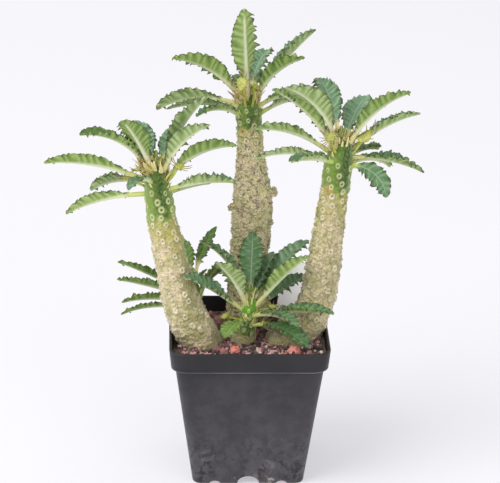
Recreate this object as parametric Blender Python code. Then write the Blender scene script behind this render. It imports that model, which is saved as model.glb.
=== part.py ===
"""A potted Dorstenia lavranii: three leafy caudex stems and two young offsets in a square nursery pot.

Lengths are in millimetres here and are turned into metres where a mesh is written. +X is to the right of the
front view, +Y away from it and +Z up. The origin is the centre of the pot's underside, on its foot pad.
"""

import math
import random
from dataclasses import dataclass

import bmesh
import bpy
from mathutils import Matrix, Vector

MM = 0.001
FIT_GAP = 0.35

# Pot: a square, tapered, thin-walled nursery pot with a band round its rim
POT_HEIGHT = 94.5
RIM_HALF = 50.0
BAND_BOTTOM = 81.4
BAND_HALF = 48.8
BAND_STEP = 2.5
RIM_EDGE = 0.7
BAND_EDGE = 0.6
FOOT_EDGE = 0.8
BODY_TOP_HALF = 46.2
BASE_HALF = 35.0
RIM_CORNER = 10.5
BASE_CORNER = 6.0
WALL = 1.4
FLOOR_UNDERSIDE = 6.2
FLOOR_TOP = FLOOR_UNDERSIDE + WALL
CORNER_STEPS = 3
FOOT_PAD_RADIUS = 9.0
FOOT_PAD_SIDES = 12
DRAIN_RADIUS = 4.0
DRAIN_OFFSET = 18.0
DRAIN_SIDES = 10
ARCH_HALF_WIDTH = 7.0
ARCH_HEIGHT = 5.5
ARCH_STEPS = 6
ARCH_INNER_END = 24.0
SIDE_ARCH_HALF_WIDTH = 3.5
SIDE_ARCH_HEIGHT = 2.2
SIDE_ARCH_OFFSET = 21.0

# Soil: coarse lava gravel, heaped a little at the right wall and lower towards the back
SOIL_LEVEL = 87.0
BACK_FALL = 3.0
RIGHT_HEAP = 2.0
GRAVEL_GRID = 20
GRAVEL_RELIEF = 1.2
GRAVEL_SHIFT = 0.9
SEAT_SIDES = 12
HOLE_REACH = 18.0
HOLE_CLEARANCE = 0.55

# Stems
STEM_FOOT = 78.0
FOOT_BLEND = 25.0
TRUNK_SIDES = 14
SCAR_PITCH = 4.2
SCAR_HEIGHT = 0.9
SCARS_FROM = SOIL_LEVEL + 8.0
STUB_SPREAD_HEIGHT = 3.6
STUB_SPREAD_ANGLE = 20.0
CROWN_SIDES = 10
CROWN_RING_PITCH = 7.0
CROWN_DOME = 4.6

# Leaves
BLADE_THICKNESS = 0.7
PETIOLE_THICKNESS = 1.9
PETIOLE_HALF_WIDTH = 1.5
BLADE_SPANS = 11
SMALL_BLADE_SPANS = 8
SMALL_BLADE_LENGTH = 46.0
LEAF_ROOT_SHARE = 0.35
MIDRIB_TAPER = 0.4
MARGIN_WAVE = 0.9
MARGIN_TOOTH = 0.07

# Flower heads
BLOOM_STALK_RADIUS = 0.85
BLOOM_CUP_SIDES = 8
BLOOM_BRACTS = 5
BLOOM_STAND_OFF = 1.4
BLOOM_CUP = ((0.35, -0.9), (0.95, 0.4), (1.0, 1.1), (0.7, 1.5))
BRACT_ROOT_SHARE = 0.72
BRACT_ROOT_HEIGHT = 0.5
BRACT_ROOT_RADIUS = 0.55
BRACT_TIP_RADIUS = 0.32

# Plant label
LABEL_WIDTH = 17.0
LABEL_THICKNESS = 0.8
LABEL_TOP = 122.0
LABEL_FOOT = 74.0
LABEL_PLACE = (26.0, 41.5)
LABEL_LEAN = 8.0


@dataclass(frozen=True)
class Stem:
    """A stem: its route as (x, y, z, radius) points from its foot up, and where its green tip starts."""

    name: str
    route: tuple
    green_from: float
    sides: int = TRUNK_SIDES


@dataclass(frozen=True)
class Leaf:
    """A leaf: compass heading, climb at its base and at its tip, length, and drop below the stem's top.

    Headings run from +X towards +Y. Angles are in degrees. roll lifts the side towards higher headings.
    """

    heading: float
    rise: float
    fall: float
    length: float
    drop: float
    half: float = 8.5
    fold: float = 48.0
    roll: float = 0.0


@dataclass(frozen=True)
class Bloom:
    """A flat flower head on a stalk, with a fringe of thin bracts round its rim."""

    heading: float
    rise: float
    drop: float
    stalk: float
    radius: float
    face: float


STEMS = {
    "left": Stem("left", (
        (-29.5, -12.0, STEM_FOOT, 11.8), (-29.5, -12.0, 86.0, 13.2), (-32.4, -12.0, 93.0, 12.9),
        (-37.3, -12.0, 102.0, 12.3), (-42.0, -12.0, 113.0, 11.5), (-46.6, -12.0, 132.0, 10.1),
        (-50.9, -12.0, 152.0, 9.4), (-54.7, -12.0, 170.0, 8.8), (-57.2, -12.0, 188.0, 8.1),
        (-58.5, -12.0, 201.0, 6.4)), 168.0),
    "centre": Stem("centre", (
        (1.0, 31.0, STEM_FOOT, 11.5), (1.0, 31.0, 88.0, 13.2), (0.9, 31.0, 110.0, 12.4),
        (1.1, 31.0, 128.0, 11.7), (2.0, 31.0, 150.0, 11.8), (2.6, 31.0, 166.0, 11.8),
        (2.2, 31.0, 180.0, 10.2), (1.4, 31.0, 192.0, 9.0), (0.7, 31.0, 206.0, 8.1),
        (-0.3, 30.5, 224.0, 7.8), (-1.0, 30.0, 234.0, 6.4)), 214.0),
    "right": Stem("right", (
        (24.5, -6.5, STEM_FOOT, 14.0), (26.0, -6.5, 85.0, 15.8), (30.5, -5.5, 91.0, 14.4),
        (36.8, -3.5, 98.0, 12.1), (41.0, -3.0, 108.0, 11.0), (43.8, -3.0, 117.0, 10.9),
        (46.4, -3.0, 135.0, 10.5), (48.6, -3.0, 154.0, 9.4), (50.4, -3.0, 170.0, 8.7),
        (52.7, -3.0, 188.0, 8.4), (54.3, -3.0, 202.0, 8.6), (56.0, -3.0, 215.0, 6.8)), 186.0),
    "front_offset": Stem("front_offset", (
        (-1.5, -10.0, STEM_FOOT, 8.6), (-1.5, -10.0, 88.0, 9.0), (-1.2, -10.0, 92.0, 7.8),
        (-0.5, -9.5, 97.0, 4.8), (0.2, -9.0, 106.0, 4.0), (0.5, -9.0, 113.0, 3.4)), 93.0, 10),
    "back_offset": Stem("back_offset", (
        (-31.0, 25.0, STEM_FOOT, 6.6), (-31.0, 25.0, 88.0, 6.6), (-31.5, 25.0, 93.0, 5.4),
        (-32.5, 25.0, 98.0, 4.3), (-34.0, 25.0, 106.0, 3.9), (-35.0, 25.0, 112.0, 3.4)), 91.5, 10),
}

LEAVES = {
    "left": (
        Leaf(178, 26, -5, 68, 8, 7.5, 48, 20), Leaf(-152, 67, 3, 62, 4, 8.5, 40, 5),
        Leaf(-122, 60, 42, 60, 2, 9.5, 40, 15), Leaf(101, 47, 15, 41, 1, 8.0, 35),
        Leaf(76, 32, 18, 42, 2, 8.0, 35), Leaf(5, 76, 45, 57, 4, 8.5, 48, -20),
        Leaf(-25, 72, 29, 52, 6, 8.5, 45, -10), Leaf(-6, 59, 3, 55, 10, 8.0, 50, -20),
        Leaf(-19, 24, 2, 48, 13, 9.0, 45, 5), Leaf(48, -2, -9, 45, 16, 6.0, 45),
        Leaf(147, 2, -35, 48, 8, 5.8, 48, 15), Leaf(171, -2, -31, 57, 15, 7.0, 48, 18),
        Leaf(-124, 66, -35, 32, 12, 6.0, 40)),
    "centre": (
        Leaf(-100, 70, 79, 66, 1, 8.0, 22), Leaf(-154, 58, 13, 62, 3, 9.0, 42, 10),
        Leaf(163, 19, -34, 59, 5, 8.5, 45, 15), Leaf(-166, 19, -11, 50, 6, 6.0, 42),
        Leaf(-151, 50, -25, 38, 14, 7.0, 35), Leaf(23, 50, 36, 59, 1, 8.5, 48, -15),
        Leaf(-19, 71, 22, 49, 5, 8.0, 48, -15), Leaf(68, 76, -7, 45, 2, 8.0, 38),
        Leaf(84, 29, 1, 43, 4, 7.5, 35), Leaf(100, 25, 11, 30, 3, 6.0, 35),
        Leaf(4, 42, -12, 45, 13, 7.0, 45), Leaf(-6, 48, -20, 40, 8, 6.5, 45)),
    "right": (
        Leaf(-139, 70, 22, 68, 2, 9.5, 32, 20), Leaf(-159, 62, 30, 63, 5, 8.0, 40),
        Leaf(170, 41, -9, 54, 8, 6.5, 48, 20), Leaf(-162, 31, -13, 53, 12, 5.5, 48, 12),
        Leaf(-129, 24, 6, 48, 11, 8.0, 40), Leaf(108, 65, -10, 58, 2, 8.0, 38),
        Leaf(68, 40, 2, 51, 3, 9.5, 36), Leaf(-15, 68, 25, 58, 5, 9.0, 42, -12),
        Leaf(-20, 49, 12, 54, 8, 8.0, 50), Leaf(7, 2, -29, 52, 8, 8.5, 42),
        Leaf(48, 12, -20, 37, 10, 7.5, 40), Leaf(-27, 38, -88, 42, 16, 9.5, 25),
        Leaf(38, 15, -38, 43, 15, 6.5, 45)),
    "front_offset": (
        Leaf(84, 65, 84, 44, 2, 7.5, 32), Leaf(-130, 62, 42, 48, 4, 8.5, 42),
        Leaf(-159, 41, 29, 51, 7, 8.0, 38, -18), Leaf(145, 75, 10, 51, 1, 6.5, 40),
        Leaf(-19, 54, 43, 54, 6, 8.5, 45), Leaf(30, 56, 27, 55, 4, 8.0, 38, 10),
        Leaf(26, 25, 21, 41, 6, 8.0, 40), Leaf(44, 64, 52, 37, 5, 7.5, 38),
        Leaf(-48, 30, -14, 43, 10, 7.5, 38), Leaf(-24, 19, 0, 55, 9, 7.0, 48),
        Leaf(-41, 26, -34, 47, 16, 7.5, 30), Leaf(-123, 18, -28, 30, 12, 8.0, 22)),
    "back_offset": (
        Leaf(172, 24, 19, 51, 6, 6.5, 45), Leaf(-167, 20, 15, 51, 8, 6.5, 45, 12),
        Leaf(-174, 14, -10, 46, 12, 6.0, 45, 12), Leaf(177, 12, -24, 48, 17, 4.5, 45, 15),
        Leaf(20, 88, 50, 41, 1, 6.0, 40), Leaf(99, 36, 8, 46, 2, 6.5, 38),
        Leaf(-10, 76, 45, 32, 12, 6.0, 40), Leaf(28, 55, 10, 28, 8, 6.0, 40)),
}

BLOOMS = {
    "left": (Bloom(-29, 51, 7.3, 11.0, 4.2, 70), Bloom(158, 52, 5.3, 6.0, 4.6, 50),
             Bloom(169, 21, 10.9, 11.4, 3.4, 80)),
    "centre": (Bloom(-106, 67, 3.4, 15.0, 5.0, 40), Bloom(-70, 80, 3.4, 15.5, 3.6, 60)),
    "right": (Bloom(-121, 55, 3.4, 10.6, 4.0, 70), Bloom(14, 48, 5.8, 10.4, 4.6, 75)),
    "front_offset": (Bloom(4, 0, 14.9, 6.0, 3.6, 70), Bloom(-4, 13, 6.2, 8.9, 3.4, 80),
                     Bloom(-160, 20, 12.0, 10.0, 3.0, 60)),
}

# Old flower-stalk stubs on a stem: height, compass angle, how far they stand out
STUBS = {"centre": ((170.0, 0.0, 4.2), (162.0, 180.0, 3.0))}

# Loose gravel big enough to be pieces of their own: place, radius, and the height that they lie at
STONE_POINTS = 34
STONE_UNDERSIDE = 0.55
STONES = {
    "red_chip_front": ((-9.0, -30.5), 4.0, 87.0),
    "red_chip_right": ((28.0, -33.0), 4.6, 87.0),
    "dark_stone": ((-18.0, 17.0), 6.4, 84.5),
}

MATERIALS = {
    "pot": ((0.055, 0.053, 0.060), 0.42),
    "soil": ((0.160, 0.075, 0.060), 0.95),
    "bark": ((0.330, 0.290, 0.150), 0.80),
    "leaf": ((0.150, 0.290, 0.075), 0.50),
    "bloom": ((0.480, 0.560, 0.100), 0.60),
    "label": ((0.800, 0.800, 0.820), 0.45),
    "red_lava": ((0.560, 0.130, 0.080), 0.85),
    "dark_lava": ((0.170, 0.040, 0.045), 0.85),
}


def clear_scene():
    """Removes every object that the file opened with."""
    for item in list(bpy.data.objects):
        bpy.data.objects.remove(item, do_unlink=True)


def material(name):
    """Returns the named finish, made once."""
    found = bpy.data.materials.get(name)
    if found:
        return found
    colour, roughness = MATERIALS[name]
    made = bpy.data.materials.new(name)
    made.use_nodes = True
    shader = made.node_tree.nodes["Principled BSDF"]
    shader.inputs["Base Color"].default_value = (*colour, 1.0)
    shader.inputs["Roughness"].default_value = roughness
    shader.inputs["Metallic"].default_value = 0.0
    return made


def finish_mesh(name, bm, finish=None, weld=True):
    """Writes a bmesh held in millimetres to a new object in metres."""
    if weld:
        bmesh.ops.remove_doubles(bm, verts=bm.verts, dist=0.001)
    bmesh.ops.recalc_face_normals(bm, faces=bm.faces)
    bmesh.ops.scale(bm, vec=(MM, MM, MM), verts=bm.verts)
    mesh = bpy.data.meshes.new(name)
    bm.to_mesh(mesh)
    bm.free()
    made = bpy.data.objects.new(name, mesh)
    bpy.context.scene.collection.objects.link(made)
    if finish:
        mesh.materials.append(material(finish))
    return made


def combine(target, operation, others):
    """Joins or cuts an object with other objects by one Boolean, applies it and removes them."""
    tools = bpy.data.collections.new("tools")
    bpy.context.scene.collection.children.link(tools)
    for other in others:
        for holder in list(other.users_collection):
            holder.objects.unlink(other)
        tools.objects.link(other)
        other.hide_render = True
        other.display_type = "WIRE"
    step = target.modifiers.new("combine", "BOOLEAN")
    step.operation = operation
    step.operand_type = "COLLECTION"
    step.collection = tools
    step.solver = "EXACT"
    bpy.context.view_layer.update()
    graph = bpy.context.evaluated_depsgraph_get()
    joined = bpy.data.meshes.new_from_object(target.evaluated_get(graph))
    target.modifiers.clear()
    keep = target.data.materials[0] if target.data.materials else None
    target.data = joined
    joined.materials.clear()
    if keep:
        joined.materials.append(keep)
    for other in list(tools.objects):
        bpy.data.objects.remove(other, do_unlink=True)
    bpy.data.collections.remove(tools)
    return target


def smooth_point(points, place):
    """Reads a Catmull-Rom curve through tuples of numbers, place running from 0 to the last index."""
    last = len(points) - 1
    index = min(int(place), last - 1)
    t = place - index
    before, start = points[max(index - 1, 0)], points[index]
    end, after = points[index + 1], points[min(index + 2, last)]
    return [
        0.5 * (2 * b + (c - a) * t + (2 * a - 5 * b + 4 * c - d) * t * t + (3 * b - a - 3 * c + d) * t ** 3)
        for a, b, c, d in zip(before, start, end, after)
    ]


def stem_rings(route, low, high, pitch):
    """Returns even (point, tangent, radius) rings of a stem between two heights, level at the first."""
    fine = [smooth_point(route, i * (len(route) - 1) / 400.0) for i in range(401)]
    kept = [p for p in fine if low - 1e-6 <= p[2] <= high + 1e-6]
    count = max(2, round((high - low) / pitch) + 1)
    rings = []
    for i in range(count):
        height = low + (high - low) * i / (count - 1)
        after = next((k for k, p in enumerate(kept) if p[2] >= height), len(kept) - 1)
        a, b = kept[max(after - 1, 0)], kept[after]
        share = 0.0 if b[2] == a[2] else (height - a[2]) / (b[2] - a[2])
        here = [u + (v - u) * share for u, v in zip(a, b)]
        lower, upper = kept[max(after - 6, 0)], kept[min(after + 6, len(kept) - 1)]
        lean = min(1.0, (height - low) / FOOT_BLEND)
        tangent = (Vector(upper[:3]) - Vector(lower[:3])).normalized()
        tangent = Vector((0, 0, 1)).lerp(tangent, lean).normalized()
        rings.append((Vector((here[0], here[1], height)), tangent, here[3]))
    return rings


def ring_vertices(bm, centre, tangent, radius, sides, lift=None):
    """Adds a ring of vertices round a point, square to the tangent; lift holds each one's rise."""
    across = (Vector((1, 0, 0)) - tangent * tangent.x).normalized()
    along = tangent.cross(across)
    made = []
    for j in range(sides):
        angle = 2 * math.pi * j / sides
        out = across * math.cos(angle) + along * math.sin(angle)
        made.append(bm.verts.new(centre + out * (radius + (lift[j] if lift else 0.0))))
    return made


def bridge(bm, lower, upper):
    """Joins two rings with the same number of vertices."""
    count = len(lower)
    for j in range(count):
        k = (j + 1) % count
        bm.faces.new((lower[j], lower[k], upper[k], upper[j]))


def triangulated(bm):
    """Splits every face into triangles."""
    bmesh.ops.triangulate(bm, faces=bm.faces, quad_method="SHORT_EDGE", ngon_method="BEAUTY")


def scar_relief(ring, side, rng):
    """Height of the bark at a lattice point: old leaf scars stand out in slanting rows."""
    return SCAR_HEIGHT * rng.uniform(0.5, 1.15) if (ring + side) % 2 == 0 else 0.0


def stub_relief(stem, height, angle):
    """How far the old flower-stalk stubs lift the bark at a height and a compass angle."""
    lift = 0.0
    for stub_height, stub_angle, stands_out in STUBS.get(stem.name, ()):
        apart = (angle - stub_angle + 180.0) % 360.0 - 180.0
        reach = ((height - stub_height) / STUB_SPREAD_HEIGHT) ** 2 + (apart / STUB_SPREAD_ANGLE) ** 2
        lift += stands_out * math.exp(-reach)
    return lift


def trunk(stem):
    """Builds the tan, scarred lower part of a stem."""
    rng = random.Random(len(stem.name) * 7 + 3)
    bm = bmesh.new()
    rings = stem_rings(stem.route, stem.route[0][2], stem.green_from - FIT_GAP / 2, SCAR_PITCH)
    last = len(rings) - 1
    loops = []
    for i, (centre, tangent, radius) in enumerate(rings):
        plain = centre.z < SCARS_FROM or i == last
        lift = [
            (0.0 if plain else scar_relief(i, j, rng)) + stub_relief(stem, centre.z, 360.0 * j / stem.sides)
            for j in range(stem.sides)
        ]
        square_to = tangent if i < last else Vector((0, 0, 1))
        loops.append(ring_vertices(bm, centre, square_to, radius, stem.sides, lift))
    for lower, upper in zip(loops, loops[1:]):
        bridge(bm, lower, upper)
    bm.faces.new(loops[0])
    bm.faces.new(loops[-1])
    triangulated(bm)
    return finish_mesh(stem.name + "_trunk", bm, "bark")


def stem_cutter(stem):
    """Builds the plain hole that a stem stands in."""
    bm = bmesh.new()
    rings = stem_rings(stem.route, stem.route[0][2], stem.green_from - FIT_GAP / 2, SCAR_PITCH)
    rings = [ring for ring in rings if ring[0].z < SOIL_LEVEL + HOLE_REACH]
    loops = [
        ring_vertices(bm, centre, tangent, radius + HOLE_CLEARANCE, stem.sides)
        for centre, tangent, radius in rings
    ]
    for lower, upper in zip(loops, loops[1:]):
        bridge(bm, lower, upper)
    bm.faces.new(loops[0])
    bm.faces.new(loops[-1])
    triangulated(bm)
    bmesh.ops.translate(bm, vec=(0, 0, -FIT_GAP), verts=loops[0])
    return finish_mesh("hole", bm)


def stem_axis(stem, drop):
    """Returns the stem's centre, direction and radius at a drop below its top."""
    top = Vector(stem.route[-1][:3])
    below = Vector(stem.route[-2][:3])
    axis = (top - below).normalized()
    return top - axis * drop, axis, stem.route[-1][3]


def crown_core(stem):
    """Builds the green top of a stem, domed at its tip, which the leaves grow from."""
    bm = bmesh.new()
    top = stem.route[-1][2]
    rings = stem_rings(stem.route, stem.green_from + FIT_GAP / 2, top, CROWN_RING_PITCH)
    loops = [
        ring_vertices(bm, centre, tangent, radius, CROWN_SIDES)
        for centre, tangent, radius in rings
    ]
    centre, tangent, radius = rings[-1]
    for share in (0.5, 0.85):
        rise = tangent * CROWN_DOME * share
        shrunk = radius * math.sqrt(1 - share ** 2)
        loops.append(ring_vertices(bm, centre + rise, tangent, shrunk, CROWN_SIDES))
    for lower, upper in zip(loops, loops[1:]):
        bridge(bm, lower, upper)
    bm.faces.new(loops[0])
    bm.faces.new(loops[-1])
    triangulated(bm)
    return finish_mesh(stem.name + "_crown", bm, "leaf")


def blade_width(share):
    """Share of the full half-width along a leaf: a narrow stalk, widest past the middle, a blunt tip."""
    grow = min(1.0, max(0.0, (share - 0.10) / 0.50))
    swell = grow * grow * (3 - 2 * grow)
    close = min(1.0, max(0.0, (1.0 - share) / 0.38))
    return swell * math.sqrt(max(0.0, 1 - (1 - close) ** 2))


def leaf_line(stem, leaf, spans):
    """Returns (point, tangent, side, up) frames along a leaf's midrib."""
    start, _, radius = stem_axis(stem, leaf.drop)
    turn = math.radians(leaf.heading)
    flat = Vector((math.cos(turn), math.sin(turn), 0))
    level = Vector((-math.sin(turn), math.cos(turn), 0))
    roll = math.radians(leaf.roll)
    point = start + flat * radius * LEAF_ROOT_SHARE
    steps = spans * 4
    stride = (leaf.length + radius * 0.25) / steps
    frames = []
    for i in range(steps + 1):
        climb = math.radians(leaf.rise + (leaf.fall - leaf.rise) * i / steps)
        tangent = flat * math.cos(climb) + Vector((0, 0, math.sin(climb)))
        up = tangent.cross(level)
        side = level * math.cos(roll) + up * math.sin(roll)
        up = up * math.cos(roll) - level * math.sin(roll)
        if i % 4 == 0:
            frames.append((point.copy(), tangent, side, up))
        point = point + tangent * stride
    return frames


def blade(stem, leaf):
    """Builds one leaf: a V-folded blade with a waved, toothed margin, as one thin closed solid."""
    bm = bmesh.new()
    spans = SMALL_BLADE_SPANS if leaf.length < SMALL_BLADE_LENGTH else BLADE_SPANS
    frames = leaf_line(stem, leaf, spans)
    fold = math.radians(leaf.fold)
    rows = []
    for i, (point, tangent, side, up) in enumerate(frames):
        share = i / spans
        wide = max(PETIOLE_HALF_WIDTH * (1 - MIDRIB_TAPER * share), leaf.half * blade_width(share))
        waved = wide > 2 * PETIOLE_HALF_WIDTH
        sign = 1 if i % 2 else -1
        thick = BLADE_THICKNESS + (PETIOLE_THICKNESS - BLADE_THICKNESS) * (1 - share) ** 2
        row = []
        for hand in (1, -1):
            out = (side * hand) * math.cos(fold) + up * math.sin(fold)
            normal = up * math.cos(fold) - (side * hand) * math.sin(fold)
            reach = wide * (1 + (MARGIN_TOOTH * sign if waved else 0.0))
            edge = point + out * reach + normal * (MARGIN_WAVE * sign if waved else 0.0)
            row.append((edge, edge - normal * min(thick, 2 * BLADE_THICKNESS)))
        middle = (point, point - up * (thick / math.cos(fold)))
        rows.append([[bm.verts.new(v) for v in pair] for pair in (row[0], middle, row[1])])
    for near, far in zip(rows, rows[1:]):
        for layer in (0, 1):
            for k in (0, 1):
                a, b = near[k][layer], near[k + 1][layer]
                c, d = far[k + 1][layer], far[k][layer]
                bm.faces.new((a, b, c) if k else (a, b, d))
                bm.faces.new((a, c, d) if k else (b, c, d))
        for k in (0, 2):
            bm.faces.new((near[k][0], near[k][1], far[k][1]))
            bm.faces.new((near[k][0], far[k][1], far[k][0]))
    for row in (rows[0], rows[-1]):
        for k in (0, 1):
            bm.faces.new((row[k][0], row[k + 1][0], row[k + 1][1], row[k][1]))
    triangulated(bm)
    return finish_mesh("leaf", bm)


def crown(stem):
    """Builds a green stem tip with all its leaves as one body."""
    return combine(crown_core(stem), "UNION", [blade(stem, leaf) for leaf in LEAVES[stem.name]])


def turned(bm, profile, sides, place):
    """Adds a closed turned shape from (radius, height) points, moved by a matrix; ends close to a point."""
    loops = []
    for radius, height in profile:
        loops.append([
            bm.verts.new(place @ Vector((radius * math.cos(2 * math.pi * j / sides),
                                         radius * math.sin(2 * math.pi * j / sides), height)))
            for j in range(sides)
        ])
    for lower, upper in zip(loops, loops[1:]):
        bridge(bm, lower, upper)
    bm.faces.new(loops[0])
    bm.faces.new(loops[-1])


def facing(direction):
    """Rotation that takes +Z to a direction."""
    return direction.to_track_quat("Z", "Y").to_matrix().to_4x4()


def flower_head(stem, bloom, name):
    """Builds a flower head: its stalk, a shallow round cup and a ring of thin bracts."""
    base, axis, radius = stem_axis(stem, bloom.drop)
    turn, climb = math.radians(bloom.heading), math.radians(bloom.rise)
    flat = Vector((math.cos(turn), math.sin(turn), 0))
    away = flat * math.cos(climb) + Vector((0, 0, math.sin(climb)))
    foot = base + flat * (radius + BLOOM_STAND_OFF)
    end = foot + away * bloom.stalk
    look = math.radians(bloom.face)
    normal = flat * math.cos(look) + Vector((0, 0, math.sin(look)))
    bm = bmesh.new()
    stalk_turn = Matrix.Translation(foot) @ facing(away)
    turned(bm, ((BLOOM_STALK_RADIUS, 0.0), (BLOOM_STALK_RADIUS, bloom.stalk + 0.6)), 5, stalk_turn)
    stalk = finish_mesh(name, bm, "bloom")
    bm = bmesh.new()
    cup = Matrix.Translation(end) @ facing(normal)
    turned(bm, [(share * bloom.radius, height) for share, height in BLOOM_CUP], BLOOM_CUP_SIDES, cup)
    head = [finish_mesh("cup", bm)]
    for k in range(BLOOM_BRACTS):
        angle = 2 * math.pi * (k + 0.3 * (k % 2)) / BLOOM_BRACTS
        flat_out = Vector((math.cos(angle), math.sin(angle), 0))
        out = (flat_out + Vector((0, 0, 0.45 + 0.2 * (k % 3)))).normalized()
        bm = bmesh.new()
        sunk = flat_out * bloom.radius * BRACT_ROOT_SHARE + Vector((0, 0, BRACT_ROOT_HEIGHT))
        root = cup @ Matrix.Translation(sunk) @ facing(out)
        reach = bloom.radius * (0.9 + 0.25 * (k % 3))
        turned(bm, ((BRACT_ROOT_RADIUS, 0.0), (BRACT_TIP_RADIUS, reach)), 3, root)
        head.append(finish_mesh("bract", bm))
    return combine(stalk, "UNION", head)


def rounded_square(bm, half, corner, height):
    """Adds a loop of vertices round a square with round corners."""
    loop = []
    for k, (sx, sy) in enumerate(((1, 1), (-1, 1), (-1, -1), (1, -1))):
        for step in range(CORNER_STEPS + 1):
            angle = math.pi / 2 * (k + step / CORNER_STEPS)
            loop.append(bm.verts.new((sx * (half - corner) + corner * math.cos(angle),
                                      sy * (half - corner) + corner * math.sin(angle), height)))
    return loop


def body_half(height):
    """Outer half-width of the pot's tapered body at a height."""
    return BASE_HALF + (BODY_TOP_HALF - BASE_HALF) * height / BAND_BOTTOM


def body_corner(height):
    """Outer corner radius of the pot's body at a height."""
    return BASE_CORNER + (RIM_CORNER - 2.0 - BASE_CORNER) * height / BAND_BOTTOM


def inner_profile(inset):
    """Half-width, corner radius and height of the pot's inside from floor to rim, moved in by an inset."""
    step_low, step_high = BAND_BOTTOM - BAND_STEP / 2, BAND_BOTTOM + BAND_STEP / 2
    return (
        (body_half(FLOOR_TOP) - WALL - inset, body_corner(FLOOR_TOP) - WALL, FLOOR_TOP + inset),
        (body_half(step_low) - WALL - inset, body_corner(step_low) - WALL, step_low + inset),
        (BAND_HALF - WALL - inset, RIM_CORNER - WALL, step_high + inset),
        (RIM_HALF - 0.3 - WALL - inset, RIM_CORNER - WALL, POT_HEIGHT - RIM_EDGE + inset),
    )


def box_object(name, low, high):
    """Builds a box between two corners."""
    bm = bmesh.new()
    bmesh.ops.create_cube(bm, size=1.0)
    low, high = Vector(low), Vector(high)
    size = high - low
    bmesh.ops.scale(bm, vec=size, verts=bm.verts)
    bmesh.ops.translate(bm, vec=(low + high) / 2, verts=bm.verts)
    return finish_mesh(name, bm)


def arch_cutter(along_x, place, half_width, height):
    """Builds a half-round cutter that opens the foot on two opposite sides of the pot."""
    bm = bmesh.new()
    loops = []
    for reach in (-1.2 * BASE_HALF, 1.2 * BASE_HALF):
        loop = []
        for j in range(ARCH_STEPS + 1):
            angle = math.pi * j / ARCH_STEPS
            across, up = half_width * math.cos(angle) + place, height * math.sin(angle) ** 0.7
            loop.append(bm.verts.new((reach, across, up) if along_x else (across, reach, up)))
        for across in (place - half_width, place + half_width):
            loop.append(bm.verts.new((reach, across, -1.0) if along_x else (across, reach, -1.0)))
        loops.append(loop)
    bridge(bm, loops[0], loops[1])
    bm.faces.new(loops[0])
    bm.faces.new(loops[1])
    return finish_mesh("arch", bm)


def pot():
    """Builds the pot: tapered walls, banded rim, raised floor with drain holes, and a foot with arches."""
    bm = bmesh.new()
    loops = [rounded_square(bm, *row) for row in inner_profile(0.0)]
    outside = (
        (RIM_HALF + 0.2 - WALL, RIM_CORNER - 1.0, POT_HEIGHT),
        (RIM_HALF - RIM_EDGE, RIM_CORNER - RIM_EDGE, POT_HEIGHT),
        (RIM_HALF, RIM_CORNER, POT_HEIGHT - RIM_EDGE),
        (BAND_HALF, RIM_CORNER, BAND_BOTTOM + BAND_EDGE),
        (BAND_HALF - BAND_EDGE, RIM_CORNER - BAND_EDGE, BAND_BOTTOM),
        (body_half(BAND_BOTTOM), body_corner(BAND_BOTTOM), BAND_BOTTOM - BAND_EDGE / 2),
        (body_half(FOOT_EDGE), BASE_CORNER, FOOT_EDGE),
        (BASE_HALF - FOOT_EDGE / 2, BASE_CORNER - FOOT_EDGE / 2, 0.0),
        (BASE_HALF - WALL, BASE_CORNER - WALL, 0.0),
        (body_half(FLOOR_UNDERSIDE) - WALL, BASE_CORNER - WALL, FLOOR_UNDERSIDE),
    )
    loops += [rounded_square(bm, *row) for row in outside]
    for lower, upper in zip(loops, loops[1:]):
        bridge(bm, lower, upper)
    bm.faces.new(loops[0])
    bm.faces.new(loops[-1])
    shell = finish_mesh("pot", bm, "pot")
    bm = bmesh.new()
    pad = ((FOOT_PAD_RADIUS, 0.0), (FOOT_PAD_RADIUS + 0.6, FLOOR_UNDERSIDE + WALL / 2))
    turned(bm, pad, FOOT_PAD_SIDES, Matrix())
    combine(shell, "UNION", [finish_mesh("pad", bm)])
    cutters = []
    for sx in (-1, 1):
        for sy in (-1, 1):
            bm = bmesh.new()
            spot = Matrix.Translation((sx * DRAIN_OFFSET, sy * DRAIN_OFFSET, 0))
            drain = ((DRAIN_RADIUS, FLOOR_UNDERSIDE - 1.0), (DRAIN_RADIUS, FLOOR_TOP + 1.0))
            turned(bm, drain, DRAIN_SIDES, spot)
            cutters.append(finish_mesh("drain", bm))
    combine(shell, "DIFFERENCE", cutters)
    for along_x in (True, False):
        arches = [arch_cutter(along_x, 0.0, ARCH_HALF_WIDTH, ARCH_HEIGHT)]
        arches += [
            arch_cutter(along_x, side * SIDE_ARCH_OFFSET, SIDE_ARCH_HALF_WIDTH, SIDE_ARCH_HEIGHT)
            for side in (-1, 1)
        ]
        low = (-ARCH_INNER_END, -ARCH_INNER_END, -ARCH_HEIGHT)
        high = (ARCH_INNER_END, ARCH_INNER_END, 2 * ARCH_HEIGHT)
        keep = box_object("keep", low, high)
        arches = [combine(arch, "DIFFERENCE", [copy_of(keep)]) for arch in arches]
        bpy.data.objects.remove(keep, do_unlink=True)
        combine(shell, "DIFFERENCE", arches)
    return shell


def copy_of(item):
    """Returns a linked copy of an object with its own mesh."""
    made = item.copy()
    made.data = item.data.copy()
    bpy.context.scene.collection.objects.link(made)
    return made


def gravel_height(x, y, rng):
    """Height of the gravel: heaped at the right wall, lower towards the back, rough with stones."""
    heap = RIGHT_HEAP * min(1.0, max(0.0, (x - 34.0) / 12.0))
    fall = BACK_FALL * min(1.0, max(0.0, y / BODY_TOP_HALF))
    return SOIL_LEVEL + heap - fall + rng.uniform(-GRAVEL_RELIEF, GRAVEL_RELIEF)


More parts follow.
